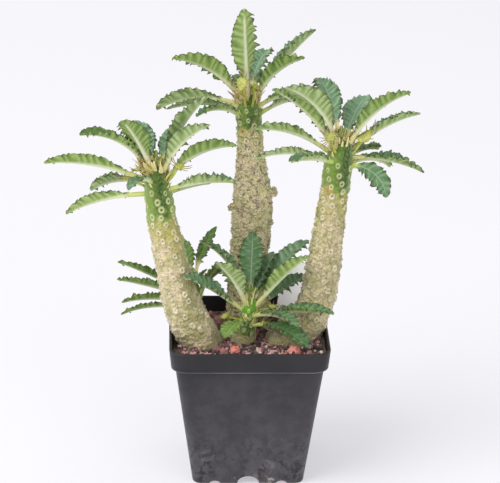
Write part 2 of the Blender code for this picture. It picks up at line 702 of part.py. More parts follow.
def soil():
    """Builds the soil, with a rough gravel top and a plain hole for each thing that stands in it."""
    bm = bmesh.new()
    rows = list(inner_profile(FIT_GAP))
    loops = [rounded_square(bm, *row) for row in rows]
    loops.append(rounded_square(bm, rows[-1][0], rows[-1][1], POT_HEIGHT + 4.0))
    for lower, upper in zip(loops, loops[1:]):
        bridge(bm, lower, upper)
    bm.faces.new(loops[0])
    bm.faces.new(loops[-1])
    filling = finish_mesh("soil", bm, "soil")
    rng = random.Random(41)
    bm = bmesh.new()
    bmesh.ops.create_grid(bm, x_segments=GRAVEL_GRID, y_segments=GRAVEL_GRID, size=52.0)
    for vert in bm.verts:
        vert.co.z = gravel_height(vert.co.x, vert.co.y, rng)
        vert.co.x += rng.uniform(-GRAVEL_SHIFT, GRAVEL_SHIFT)
        vert.co.y += rng.uniform(-GRAVEL_SHIFT, GRAVEL_SHIFT)
    triangulated(bm)
    lid = bmesh.ops.extrude_face_region(bm, geom=bm.faces[:])
    for item in lid["geom"]:
        if isinstance(item, bmesh.types.BMVert):
            item.co.z = 110.0
    combine(filling, "DIFFERENCE", [finish_mesh("air", bm)])
    holes = [stem_cutter(stem) for stem in STEMS.values()]
    for place, radius, height in STONES.values():
        bm = bmesh.new()
        turned(bm, ((radius + 0.6, height - FIT_GAP), (radius + 1.4, height + 20.0)), SEAT_SIDES,
               Matrix.Translation((place[0], place[1], 0)))
        holes.append(finish_mesh("stone_seat", bm))
    holes.append(label_plate("slit", FIT_GAP))
    return combine(filling, "DIFFERENCE", holes)


def label_plate(name, clearance, finish=None):
    """Builds the plant label, a thin plate that narrows to a point in the soil; clearance makes its slit."""
    half = LABEL_WIDTH / 2 + clearance
    foot = LABEL_FOOT - clearance
    corner = 3.0
    outline = [(0.0, foot), (half, foot + 12.0), (half, LABEL_TOP - corner)]
    outline += [
        (half - corner + corner * math.cos(a), LABEL_TOP - corner + corner * math.sin(a))
        for a in (math.pi / 6, math.pi / 3, math.pi / 2)
    ]
    outline += [(-x, z) for x, z in reversed(outline[1:])]
    bm = bmesh.new()
    thick = LABEL_THICKNESS / 2 + clearance
    sheets = [[bm.verts.new((x, y, z)) for x, z in outline] for y in (-thick, thick)]
    bridge(bm, sheets[0], sheets[1])
    bm.faces.new(sheets[0])
    bm.faces.new(sheets[1])
    pivot = Vector((0, 0, LABEL_FOOT))
    place = Matrix.Translation(Vector((*LABEL_PLACE, 0)) + pivot)
    lean = Matrix.Rotation(math.radians(LABEL_LEAN), 4, "Y")
    bmesh.ops.transform(bm, matrix=place @ lean @ Matrix.Translation(-pivot), verts=bm.verts)
    return finish_mesh(name, bm, finish)


def stone(name):
    """Builds one chip of lava: an uneven block with a flat underside."""
    place, radius, height = STONES[name]
    rng = random.Random(len(name))
    middle = Vector((place[0], place[1], height + STONE_UNDERSIDE * radius))
    bm = bmesh.new()
    for _ in range(STONE_POINTS):
        aim = Vector([rng.gauss(0.0, 1.0) for _ in range(3)]).normalized() * radius * rng.uniform(0.88, 1.0)
        aim.z = max(aim.z, -STONE_UNDERSIDE * radius)
        bm.verts.new(middle + aim)
    bmesh.ops.convex_hull(bm, input=bm.verts)
    inside = [vert for vert in bm.verts if not vert.link_faces]
    bmesh.ops.delete(bm, geom=inside, context="VERTS")
    return finish_mesh(name, bm, "dark_lava" if name == "dark_stone" else "red_lava")


def main():
    """Builds every piece."""
    clear_scene()
    pot()
    soil()
    label_plate("plant_label", 0.0, "label")
    for name in STONES:
        stone(name)
    for stem in STEMS.values():
        trunk(stem)
        crown(stem)
        for number, bloom in enumerate(BLOOMS.get(stem.name, ()), 1):
            flower_head(stem, bloom, f"{stem.name}_bloom_{number}")


main()
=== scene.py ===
"""Looks of a potted Dorstenia lavranii: three scarred stems, two young offsets and a square nursery pot.

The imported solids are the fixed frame. Each of them gets a finer piece of the same form, or a finish of its
own. Lengths are in millimetres and are turned into metres where a mesh is written. +X is to the right of the
front view, +Y away from it and +Z up.
"""

import logging
import math
from dataclasses import dataclass, replace
from enum import Enum
from typing import Any, Callable

import bmesh
import bpy
import numpy as np
from bmesh.types import BMesh, BMVert
from bpy.types import Material, Mesh, Node, NodeSocket, NodeTree, Object
from mathutils import Matrix, Vector


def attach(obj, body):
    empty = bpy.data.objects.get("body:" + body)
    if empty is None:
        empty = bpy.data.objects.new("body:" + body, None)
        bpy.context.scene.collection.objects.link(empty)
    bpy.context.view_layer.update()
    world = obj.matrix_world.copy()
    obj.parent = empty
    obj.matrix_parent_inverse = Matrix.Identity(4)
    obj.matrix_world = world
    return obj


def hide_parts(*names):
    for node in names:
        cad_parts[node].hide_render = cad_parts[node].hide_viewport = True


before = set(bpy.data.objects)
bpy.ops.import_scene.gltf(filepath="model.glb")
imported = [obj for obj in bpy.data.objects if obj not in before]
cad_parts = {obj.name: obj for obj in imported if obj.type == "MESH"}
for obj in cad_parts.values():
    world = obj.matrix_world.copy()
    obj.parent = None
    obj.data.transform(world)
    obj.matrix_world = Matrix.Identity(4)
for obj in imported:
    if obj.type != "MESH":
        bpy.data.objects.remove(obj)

log = logging.getLogger("plant")

MM = 0.001
WELD = 0.000001
GOLDEN_ANGLE = math.pi * (3.0 - math.sqrt(5.0))
BODY = "root"
FULL_TURN = 2.0 * math.pi
UP = (0.0, 0.0, 1.0)

Array = np.ndarray
Triple = tuple[float, float, float]
Colour = Triple
Marks = dict[str, Array]
Placed = tuple[Array, Marks]
Place = Callable[[Array, Array], Placed]
Feeds = dict[Any, Any]


class Slot(Enum):
    """The record's material slots."""

    POT = "pot"
    SOIL = "soil"
    BARK = "bark"
    LEAF = "leaf"
    BLOOM = "bloom"
    LABEL = "label"
    RED_LAVA = "red_lava"
    DARK_LAVA = "dark_lava"


# Number work on arrays


def smooth_step(low: float, high: float, values: Array) -> Array:
    """Rises smoothly from 0 at low to 1 at high.

    Args:
        low: Value where the step starts.
        high: Value where the step ends.
        values: Values to read the step at.

    Returns:
        The step at each value.
    """
    share = np.clip((values - low) / (high - low), 0.0, 1.0)
    return share * share * (3.0 - 2.0 * share)


def bell(values: Array, width: float | Array) -> Array:
    """Returns a smooth bump that is 1 at zero and fades over a width."""
    return np.exp(-((values / width) ** 2))


def between(shares: Array) -> Array:
    """Returns 1 for shares inside 0 to 1, and 0 at both ends, where a tube closes."""
    return ((shares > 0.0) & (shares < 1.0)).astype(float)


def unit(vectors: Array) -> Array:
    """Returns vectors of length 1 with the same directions."""
    return vectors / np.linalg.norm(vectors, axis=-1, keepdims=True)


def swing(first: Array, second: Array, angle: Array) -> Array:
    """Turns a direction by angles in radians towards another that is square to it."""
    return first * np.cos(angle)[:, None] + second * np.sin(angle)[:, None]


def degrees_apart(compass: Any, other: float) -> Any:
    """Returns the signed short way round, in degrees, from the other compass angle to the first."""
    return (compass - other + 180.0) % 360.0 - 180.0


def heading(degrees: float) -> tuple[Vector, Vector]:
    """Returns the level direction at a compass angle and the level direction to its left."""
    turn = math.radians(degrees)
    return Vector((math.cos(turn), math.sin(turn), 0.0)), Vector((-math.sin(turn), math.cos(turn), 0.0))


class Ripple:
    """A smooth random field in space: a sum of seeded plane waves with unit spread."""

    def __init__(self, seed: int, wavelength: float, waves: int = 22) -> None:
        """Draws the waves.

        Args:
            seed: Seed of the draw.
            wavelength: Mean wavelength in millimetres.
            waves: Number of waves.
        """
        rng = np.random.default_rng(seed)
        aims = unit(rng.normal(size=(waves, 3)))
        self.aims = aims * (FULL_TURN / (wavelength * rng.uniform(0.65, 1.6, waves)))[:, None]
        self.shifts = rng.uniform(0.0, FULL_TURN, waves)

    def at(self, points: Array) -> Array:
        """Returns the field at an array of points."""
        return np.sin(points @ self.aims.T + self.shifts).sum(axis=1) * math.sqrt(2.0 / len(self.shifts))


# Meshes


def to_mesh(name: str, bm: BMesh) -> Mesh:
    """Turns a bmesh into a mesh and frees it.

    Args:
        name: Name of the mesh.
        bm: Its shape.

    Returns:
        The mesh.
    """
    mesh = bpy.data.meshes.new(name)
    bm.to_mesh(mesh)
    bm.free()
    return mesh


def linked(name: str, data: Any) -> Object:
    """Puts a mesh, light or camera into the scene as an object.

    Args:
        name: Name of the object.
        data: What it shows.

    Returns:
        The object.
    """
    item = bpy.data.objects.new(name, data)
    bpy.context.scene.collection.objects.link(item)
    return item


def points_of(mesh: Mesh) -> Array:
    """Reads the vertices' points.

    Args:
        mesh: The mesh.

    Returns:
        The points in the mesh's own units.
    """
    flat = np.empty(len(mesh.vertices) * 3)
    mesh.vertices.foreach_get("co", flat)
    return flat.reshape(-1, 3)


def wrapped_grid(name: str, around: int, along: int, place: Place) -> Mesh:
    """Bends a flat grid into a surface.

    Args:
        name: Name of the mesh.
        around: Cells across the grid.
        along: Cells along the grid.
        place: Gives each vertex's point in millimetres and its marks from its two shares, both 0 to 1.

    Returns:
        The mesh in metres, with each mark as a point attribute and its seams still open.
    """
    bm = bmesh.new()
    bmesh.ops.create_grid(bm, x_segments=around, y_segments=along, size=0.5)
    mesh = to_mesh(name, bm)
    shares = np.clip(points_of(mesh) + 0.5, 0.0, 1.0)
    points, marks = place(shares[:, 0], shares[:, 1])
    mesh.vertices.foreach_set("co", (points * MM).ravel())
    add_marks(mesh, marks)
    return mesh


def add_marks(mesh: Mesh, marks: Marks) -> None:
    """Stores arrays of numbers as point attributes of a mesh.

    Args:
        mesh: The mesh.
        marks: The attributes' names and numbers.
    """
    for label, values in marks.items():
        layer = mesh.attributes.new(label, "FLOAT", "POINT")
        layer.data.foreach_set("value", np.ascontiguousarray(values, dtype=np.float32))


def welded(meshes: list[Mesh]) -> BMesh:
    """Gathers meshes, closes their seams and poles, turns their faces out and removes the parts.

    Args:
        meshes: Meshes in metres that share the same marks.

    Returns:
        One bmesh with all of them.
    """
    bm = bmesh.new()
    for mesh in meshes:
        bm.from_mesh(mesh)
        bpy.data.meshes.remove(mesh)
    bmesh.ops.remove_doubles(bm, verts=bm.verts, dist=WELD)
    bmesh.ops.recalc_face_normals(bm, faces=bm.faces)
    return bm


def finished(
    name: str, bm: BMesh, finish: Material, slot: Slot, nodes: tuple[str, ...] = (),
    sharp: float = 180.0,
) -> Object:
    """Turns a bmesh in metres into a piece that rides on the object.

    Args:
        name: Name of the piece.
        bm: Its shape, which is freed.
        finish: Its material.
        slot: Not used.
        nodes: The solids that it stands for.
        sharp: Angle in degrees past which an edge is shaded sharp.

    Returns:
        The piece.
    """
    mesh = to_mesh(name, bm)
    mesh.shade_smooth()
    if sharp < 180.0:
        mesh.set_sharp_from_angle(angle=math.radians(sharp))
    mesh.materials.append(finish)
    piece = linked(name, mesh)
    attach(piece, BODY)
    if nodes:
        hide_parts(*nodes)
    log.info("%s: %d faces", name, len(mesh.polygons))
    return piece


def combined(base: Object, operation: str, tools: list[Object]) -> BMesh:
    """Joins or cuts a scratch object with others by one Boolean and removes them all.

    Args:
        base: Object that is changed, linked to the scene.
        operation: UNION or DIFFERENCE.
        tools: Objects that join it or cut it.

    Returns:
        The result.
    """
    group = bpy.data.collections.new("tools")
    bpy.context.scene.collection.children.link(group)
    for tool in tools:
        group.objects.link(tool)
    step = base.modifiers.new("combine", "BOOLEAN")
    step.operation = operation
    step.operand_type = "COLLECTION"
    step.collection = group
    step.solver = "EXACT"
    bpy.context.view_layer.update()
    graph = bpy.context.evaluated_depsgraph_get()
    bm = bmesh.new()
    bm.from_object(base, graph)
    for item in [base, *tools]:
        mesh = item.data
        bpy.data.objects.remove(item, do_unlink=True)
        bpy.data.meshes.remove(mesh)
    bpy.data.collections.remove(group)
    return bm


def to_metres(bm: BMesh) -> BMesh:
    """Scales a bmesh from millimetres to metres."""
    bmesh.ops.scale(bm, vec=(MM, MM, MM), verts=bm.verts)
    return bm


# Material graphs


class Value:
    """A number or a colour in a graph; arithmetic on it adds nodes."""

    def __init__(self, graph: "Graph", socket: NodeSocket) -> None:
        """Keeps the graph and the socket that gives the value."""
        self.graph = graph
        self.socket = socket

    def __add__(self, other: Any) -> "Value":
        """Adds a value."""
        return self.graph.sum("ADD", self, other)

    def __sub__(self, other: Any) -> "Value":
        """Takes a value off."""
        return self.graph.sum("SUBTRACT", self, other)

    def __rsub__(self, other: float) -> "Value":
        """Takes itself off a number."""
        return self.graph.sum("SUBTRACT", other, self)

    def __mul__(self, other: Any) -> "Value":
        """Multiplies by a value."""
        return self.graph.sum("MULTIPLY", self, other)

    def spread(self, low: Any, high: Any, start: Any = 0.0, end: Any = 1.0) -> "Value":
        """Stretches low to high over start to end, clamped."""
        return self.graph.value(0, "ShaderNodeMapRange", {0: self, 1: low, 2: high, 3: start, 4: end})


class Graph:
    """A node tree that short calls build and wire."""

    def __init__(self, tree: NodeTree) -> None:
        """Keeps the tree."""
        self.tree = tree

    def add(self, kind: str, feeds: Feeds | None = None, **settings: Any) -> Node:
        """Adds a node.

        Args:
            kind: The node's type.
            feeds: Values or numbers for its inputs, by name or number.
            **settings: Its own settings.

        Returns:
            The node.
        """
        node = self.tree.nodes.new(kind)
        for key, value in settings.items():
            setattr(node, key, value)
        for key, value in (feeds or {}).items():
            self.feed(node.inputs[key], value)
        return node

    def feed(self, socket: NodeSocket, value: Any) -> None:
        """Links a socket to a value, or gives it a number or a colour.

        Args:
            socket: The input.
            value: What it gets.
        """
        if isinstance(value, Value):
            self.tree.links.new(value.socket, socket)
        elif socket.type == "RGBA":
            socket.default_value = (*value, 1.0)
        else:
            socket.default_value = value

    def value(self, output: str | int, kind: str, feeds: Feeds | None = None, **settings: Any) -> Value:
        """Adds a node and returns one of its outputs."""
        return Value(self, self.add(kind, feeds, **settings).outputs[output])

    def mark(self, name: str) -> Value:
        """Reads a point attribute as a number."""
        return self.value("Fac", "ShaderNodeAttribute", attribute_name=name)

    def place(self) -> Value:
        """Reads the object's own coordinates."""
        return self.value("Object", "ShaderNodeTexCoord")

    def height(self) -> Value:
        """Reads the height in the object's own coordinates, in metres."""
        return self.value("Z", "ShaderNodeSeparateXYZ", {0: self.place()})

    def mix(self, share: Any, low: Any, high: Any, blend: str = "MIX") -> Value:
        """Mixes two colours."""
        return self.value(2, "ShaderNodeMix", {0: share, 6: low, 7: high}, data_type="RGBA", blend_type=blend)

    def sum(self, operation: str, first: Any, second: Any = 0.0) -> Value:
        """Works out a number."""
        return self.value(0, "ShaderNodeMath", {0: first, 1: second}, operation=operation)

    def noise(self, scale: Any, detail: float = 3.0, rough: float = 0.55) -> Value:
        """Returns fractal noise."""
        feeds = {"Vector": self.place(), "Scale": scale, "Detail": detail, "Roughness": rough}
        return self.value("Fac", "ShaderNodeTexNoise", feeds)

    def relief(self, height: Any, distance: float, strength: float = 1.0, **below: Value) -> Value:
        """Turns a height into a normal; distance is in millimetres, and Normal is the one that it adds to."""
        feeds = {"Height": height, "Distance": distance * MM, "Strength": strength, **below}
        return self.value("Normal", "ShaderNodeBump", feeds)


class Effect(Graph):
    """A node group that several finishes share, with numbers as its inputs and outputs."""

    def __init__(self, name: str, outputs: tuple[str, ...], **inputs: float) -> None:
        """Starts the group.

        Args:
            name: Name of the effect.
            outputs: Its outputs.
            **inputs: Its inputs with their defaults.
        """
        super().__init__(bpy.data.node_groups.new(name, "ShaderNodeTree"))
        sockets = self.tree.interface
        for label, value in inputs.items():
            sockets.new_socket(label, in_out="INPUT", socket_type="NodeSocketFloat").default_value = value
        for label in outputs:
            sockets.new_socket(label, in_out="OUTPUT", socket_type="NodeSocketFloat")
        node = self.add("NodeGroupInput")
        self.given = [Value(self, node.outputs[label]) for label in inputs]

    def done(self, **results: Value) -> NodeTree:
        """Wires the group's outputs and returns the group."""
        self.add("NodeGroupOutput", results)
        return self.tree


class Effects:
    """The effects that several finishes share, each built once."""

    def __init__(self) -> None:
        """Builds them."""
        self.mottle = self._mottle()
        self.grain = self._grain()
        self.pores = self._pores()
        self.soiling = self._soiling()

    @staticmethod
    def _mottle() -> NodeTree:
        """Soft blotches: 0 to 1 with an adjustable contrast.

        Returns:
            The group.
        """
        effect = Effect("mottle", ("Mask",), Scale=100.0, Contrast=1.0)
        scale, contrast = effect.given
        raised = (effect.noise(scale, 4.0, 0.6) - 0.5) * contrast + 0.5
        return effect.done(Mask=raised.spread(0.2, 0.8))

    @staticmethod
    def _grain() -> NodeTree:
        """Fine even roughness for bump heights.

        Returns:
            The group.
        """
        effect = Effect("grain", ("Height",), Scale=1500.0)
        scale = effect.given[0]
        return effect.done(Height=effect.noise(scale * 0.31, 2.0, 0.5) * 0.8 + effect.noise(scale, 2.0, 0.6))

    @staticmethod
    def _pores() -> NodeTree:
        """Open bubbles of porous stone: a height and a mask of their dark insides.

        Returns:
            The group.
        """
        effect = Effect("pores", ("Height", "Inside"), Scale=900.0, Size=0.3)
        scale, size = effect.given
        cells = effect.value("Distance", "ShaderNodeTexVoronoi", {"Vector": effect.place(), "Scale": scale})
        # Painted shade: the insides of the pores are darkened.
        dark_and_pore_shade = (effect.noise(scale, 2.0) * 0.4 + cells).spread(size + 0.32, size)
        return effect.done(Height=effect.noise(scale * 2.5, 3.0, 0.65) - dark_and_pore_shade, Inside=dark_and_pore_shade)

    @staticmethod
    def _soiling() -> NodeTree:
        """Dirt that thins out with height, in blotches: 1 is dirty.

        Returns:
            The group.
        """
        effect = Effect("soiling", ("Mask",), Low=0.0, High=0.02, Scale=120.0, Amount=0.5)
        low, high, scale, amount = effect.given
        edge = 0.74 - effect.height().spread(high, low) * amount
        return effect.done(Mask=effect.noise(scale, 5.0, 0.65).spread(edge, edge + 0.12))


class Paint(Graph):
    """A material's graph, with its shader and the shared effects at hand."""

    def __init__(self, name: str, effects: Effects | None = None, **plain: Any) -> None:
        """Starts the material.

        Args:
            name: Name of the material.
            effects: The shared effects, if it uses any.
            **plain: The shader's even values, by socket name with underscores.
        """
        self.material = bpy.data.materials.new(name)
        self.material.use_nodes = True
        super().__init__(self.material.node_tree)
        self.shader = self.tree.nodes["Principled BSDF"]
        self.effects = effects
        self.shade(**plain)

    def shade(self, **values: Any) -> None:
        """Feeds the shader's sockets, named with underscores."""
        for key, value in values.items():
            self.feed(self.shader.inputs[key.replace("_", " ")], value)

    def mottle(self, scale: float, contrast: float) -> Value:
        """Returns soft blotches."""
        return self.value("Mask", "ShaderNodeGroup", {"Scale": scale, "Contrast": contrast},
                          node_tree=self.effects.mottle)

    def grain(self, scale: float) -> Value:
        """Returns the height of a fine even roughness."""
        return self.value("Height", "ShaderNodeGroup", {"Scale": scale}, node_tree=self.effects.grain)

    def soiling(self, low: float, high: float, scale: float, amount: float) -> Value:
        """Returns dirt that thins out from a low to a high level, both in metres."""
        feeds = {"Low": low, "High": high, "Scale": scale, "Amount": amount}
        return self.value("Mask", "ShaderNodeGroup", feeds, node_tree=self.effects.soiling)

    def roughen(self, scale: float, depth: float, strength: float) -> Material:
        """Gives the shader a fine grain for its normal and returns the material."""
        self.shade(Normal=self.relief(self.grain(scale), depth, strength))
        return self.material


@dataclass(frozen=True)
class LeafFinish:
    """Living leaf: dark teal-green above, pale below, cream midrib, light veins and a dark toothed edge.

    A leaf's tint is its share of pale bloom. Below zero its underside turns deep green instead. The hollows
    and creases of its crinkles are darkened with painted shade.
    """

    top: Colour = (0.052, 0.150, 0.022)
    top_bloom: Colour = (0.205, 0.340, 0.218)
    under: Colour = (0.430, 0.550, 0.170)
    under_pale: Colour = (0.600, 0.695, 0.400)
    # Deep green of bare undersides, also the painted shade in the crinkles' hollows.
    under_deep_and_shade: Colour = (0.160, 0.270, 0.055)
    vein: Colour = (0.460, 0.560, 0.260)
    rib: Colour = (0.780, 0.800, 0.560)
    petiole: Colour = (0.530, 0.590, 0.180)
    blush: Colour = (0.800, 0.665, 0.425)
    crease_shade: Colour = (0.060, 0.130, 0.020)
    edge: Colour = (0.050, 0.060, 0.042)
    fresh: Colour = (0.450, 0.560, 0.100)

    def build(self, effects: Effects) -> Material:
        """Builds the material.

        Args:
            effects: The shared effects.

        Returns:
            The material.
        """
        paint = Paint("leaf", effects, Roughness=0.5, Subsurface_Weight=0.12, Subsurface_Scale=0.002,
                      Subsurface_Radius=(0.8, 1.0, 0.4), Specular_IOR_Level=0.36)
        mark, mix = paint.mark, paint.mix
        tint, under, hollow_shade = mark("tint"), mark("under"), mark("hollow_shade")
        fine, broad = paint.mottle(420.0, 1.2), paint.mottle(75.0, 1.3)
        above = mix(tint * 0.62 + broad * tint.spread(0.0, 0.6, 0.06, 0.36), self.top, self.top_bloom)
        # Painted shade: the top loses its bloom in the hollows of the crinkles.
        above = mix(hollow_shade.spread(0.35, 0.95, 0.0, 0.5), above, self.top)
        below = mix(tint.spread(0.25, 1.0, 0.0, 0.80), self.under, self.under_pale)
        bare = tint.spread(0.35, -1.0, 0.0, 1.10)
        # Painted shade in the crinkles' hollows, with random blotches and the deep green of bare leaves.
        below = mix(hollow_shade * 0.75 + broad * 0.18 + bare, below, self.under_deep_and_shade)
        blade = mix(fine * 0.22, mix(under, above, below), self.top, "MULTIPLY")
        # Painted shade along the creases of the crinkles.
        blade = mix(mark("crease_shade") * 0.68, blade, self.crease_shade)
        blade = mix(mark("vein") * 0.38, blade, self.vein)
        blade = mix(mark("fresh"), blade, self.fresh)
        blade = mix(mark("rib") * under.spread(0.0, 1.0, 0.32, 0.9), blade, self.rib)
        stalk = mix(mark("blush") * broad.spread(0.0, 0.6, 0.45, 1.0), self.petiole, self.blush)
        blade = mix(mark("petiole"), blade, stalk)
        edge = (fine * 0.5 + mark("edge")).spread(0.46, 1.05, 0.0, 0.88)
        gloss = under * 0.12 + fine.spread(0.0, 1.0, 0.38, 0.52)
        paint.shade(Base_Color=mix(edge, blade, self.edge), Roughness=gloss)
        return paint.roughen(2600.0, 0.05, 0.6)


@dataclass(frozen=True)
class BarkFinish:
    """Stem skin: green near the crown, ochre where it turns, then tan bark with pale leaf scars.

    The rugged mark is the stem's share of warts: an old stem is paler, with more gouges and flecks.
    """

    green: Colour = (0.240, 0.390, 0.050)
    # Painted shade on the green skin: under the crown's leaves and down the side away from the key light.
    shaded_green: Colour = (0.020, 0.070, 0.003)
    vivid: Colour = (0.125, 0.340, 0.010)
    amber: Colour = (0.560, 0.400, 0.070)
    turn: Colour = (0.450, 0.410, 0.075)
    young: Colour = (0.480, 0.480, 0.120)
    bark: Colour = (0.530, 0.478, 0.235)
    olive: Colour = (0.235, 0.240, 0.075)
    worn: Colour = (0.830, 0.770, 0.410)
    blush: Colour = (0.730, 0.600, 0.400)
    ring_green: Colour = (0.680, 0.720, 0.330)
    # Pale scar rims, also the colour of the painted highlights on the bark's tubercles.
    pale_ring_and_highlight: Colour = (0.800, 0.735, 0.500)
    pit_and_shade: Colour = (0.100, 0.075, 0.025)
    dirt: Colour = (0.260, 0.200, 0.130)

    def build(self, effects: Effects) -> Material:
        """Builds the material.

        Args:
            effects: The shared effects.

        Returns:
            The material.
        """
        paint = Paint("bark", effects, Roughness=0.72, Subsurface_Weight=0.05, Subsurface_Scale=0.002,
                      Sheen_Weight=0.40, Specular_IOR_Level=0.22)
        mark, mix, mottle = paint.mark, paint.mix, paint.mottle
        green, low, yellow, rugged = mark("green"), mark("low"), mark("yellow"), mark("rugged")
        broad, spots = mottle(95.0, 2.2), mottle(420.0, 1.8)
        wood = mix(spots * 0.25 + broad * 0.45, self.bark, self.olive)
        wood = mix(broad.spread(0.65, 0.15, 0.0, low.spread(0.0, 0.5, 0.30, 0.50)), wood, self.blush)
        wood = mix(low.spread(0.0, 0.6, 0.7, 0.0) * broad.spread(0.2, 0.7) * yellow, wood, self.young)
        wood = mix(mark("turn") * yellow.spread(0.0, 1.0, 0.35, 0.6), wood, self.turn)
        wood = mix(rugged.spread(0.6, 0.95, 0.0, 0.50), wood, self.worn)
        # Rosy patches: partly the bark's own blush, partly painted light on the side facing the key light.
        wood = mix(mark("peach_and_light"), wood, self.blush)
        # The tip mark darkens the green under the crown and in a stripe down one side: painted shade.
        skin = mix(spots * 0.2 + mark("tip"), self.green, self.shaded_green)
        skin = mix(mark("vivid"), skin, self.vivid)
        base = mix(mark("amber"), mix(green, wood, skin), self.amber)
        woody = low - green
        speckled = woody.spread(-0.6, 0.7, 0.16, 0.72) * rugged.spread(0.0, 1.0, 0.95, 0.90)
        base = mix(mottle(900.0, 1.7).spread(0.58, 0.90) * speckled, base, self.pit_and_shade)
        # Pale flecks on the woody bark: painted highlights on the tops of its tubercles.
        base = mix(mottle(520.0, 2.4).spread(0.60, 0.92, 0.0, 0.48) * speckled, base, self.pale_ring_and_highlight)
        gouged = mottle(330.0, 2.6).spread(0.82, 1.0) * rugged.spread(0.5, 1.0, 0.12, 0.52)
        base = mix(gouged * (1.0 - green), base, self.pit_and_shade)
        ring = mark("ring").spread(0.05, 0.75, 0.0, woody.spread(-0.2, 0.9, 0.88, 0.78))
        base = mix(ring, base, mix(green, self.pale_ring_and_highlight, self.ring_green))
        # Dark pits, with painted shade round the scars' rims and in the knobs' hollows.
        base = mix(mark("pit_and_shade") * 0.75, base, self.pit_and_shade)
        base = mix(paint.soiling(0.086, 0.112, 260.0, 0.42) * 0.4, base, self.dirt)
        lumps = (paint.grain(420.0) - gouged * 1.2) * rugged.spread(0.5, 1.0, 0.75, 1.1)
        cracks = paint.relief(paint.grain(1100.0), 0.35, 0.9, Normal=paint.relief(lumps, 1.7))
        paint.shade(Base_Color=base, Roughness=green.spread(0.0, 1.0, 0.78, 0.52), Normal=cracks)
        return paint.material


@dataclass(frozen=True)
class PaperFinish:
    """Dry papery scales among the leaf bases: pale yellow, browner as their tint rises."""

    pale: Colour = (0.850, 0.800, 0.360)
    brown: Colour = (0.400, 0.200, 0.085)

    def build(self, effects: Effects) -> Material:
        """Builds the material.

        Args:
            effects: The shared effects.

        Returns:
            The material.
        """
        paint = Paint("stipule", effects, Roughness=0.75)
        share = paint.mark("tint") * 0.6 + paint.mottle(700.0, 1.8) * 0.5
        paint.shade(Base_Color=paint.mix(share.spread(0.38, 1.02), self.pale, self.brown))
        return paint.roughen(2200.0, 0.08, 0.7)


@dataclass(frozen=True)
class BloomFinish:
    """Flower head: yellow-green florets, with thin purple-brown tips on its fringe."""

    cup: Colour = (0.490, 0.550, 0.105)
    floret: Colour = (0.730, 0.720, 0.235)
    gap: Colour = (0.300, 0.310, 0.060)
    tip: Colour = (0.260, 0.110, 0.095)

    def build(self, effects: Effects) -> Material:
        """Builds the material.

        Args:
            effects: The shared effects.

        Returns:
            The material.
        """
        paint = Paint("bloom", effects, Roughness=0.62, Subsurface_Weight=0.08, Subsurface_Scale=0.001)
        mark, mix = paint.mark, paint.mix
        body = mix(mark("face"), self.cup, mix(mark("floret"), self.gap, self.floret))
        body = mix(mark("tip"), body, self.tip)
        spots = paint.mottle(620.0, 2.8).spread(0.35, 0.80, 0.0, 0.62)
        paint.shade(Base_Color=mix(spots, body, self.gap))
        return paint.roughen(3200.0, 0.05, 0.6)


@dataclass(frozen=True)
class StoneFinish:
    """Porous lava with dark bubbles and pale dust; each stone's tint picks one of its tones."""

    name: str
    tones: tuple[Colour, ...]
    # Dark tone of the stone's clouds, also the painted shade in its pores.
    dark_and_pore_shade: Colour
    pore_scale: float = 850.0
    shade: float = 0.5
    dust: float = 0.22
    cloud_scale: float = 330.0
    pore_size: float = 0.16
    dust_tone: Colour = (0.78, 0.60, 0.55)

    def build(self, effects: Effects) -> Material:
        """Builds the material.

        Args:
            effects: The shared effects.

        Returns:
            The material.
        """
        paint = Paint(self.name, effects, Roughness=0.92)
        feeds = {"Scale": self.pore_scale, "Size": self.pore_size}
        pores = paint.add("ShaderNodeGroup", feeds, node_tree=effects.pores)
        dark_and_pore_shade, height = (Value(paint, pores.outputs[label]) for label in ("Inside", "Height"))
        ramp = paint.add("ShaderNodeValToRGB", {0: paint.mark("tint")})
        ramp.color_ramp.interpolation = "CONSTANT"
        steps = ramp.color_ramp.elements
        while len(steps) < len(self.tones):
            steps.new(0.5)
        for index, (step, tone) in enumerate(zip(steps, self.tones)):
            step.position = index / len(self.tones)
            step.color = (*tone, 1.0)
        cloud = paint.mottle(self.cloud_scale, 2.2) * self.shade
        base = paint.mix(cloud, Value(paint, ramp.outputs["Color"]), self.dark_and_pore_shade)
        base = paint.mix(paint.mottle(1000.0, 1.8) * self.dust, base, self.dust_tone)
        normal = paint.relief(paint.noise(2400.0) * 0.5 + height, 0.35, 0.9)
        # Painted shade in the pores.
        paint.shade(Base_Color=paint.mix(dark_and_pore_shade, base, self.dark_and_pore_shade), Normal=normal)
        return paint.material


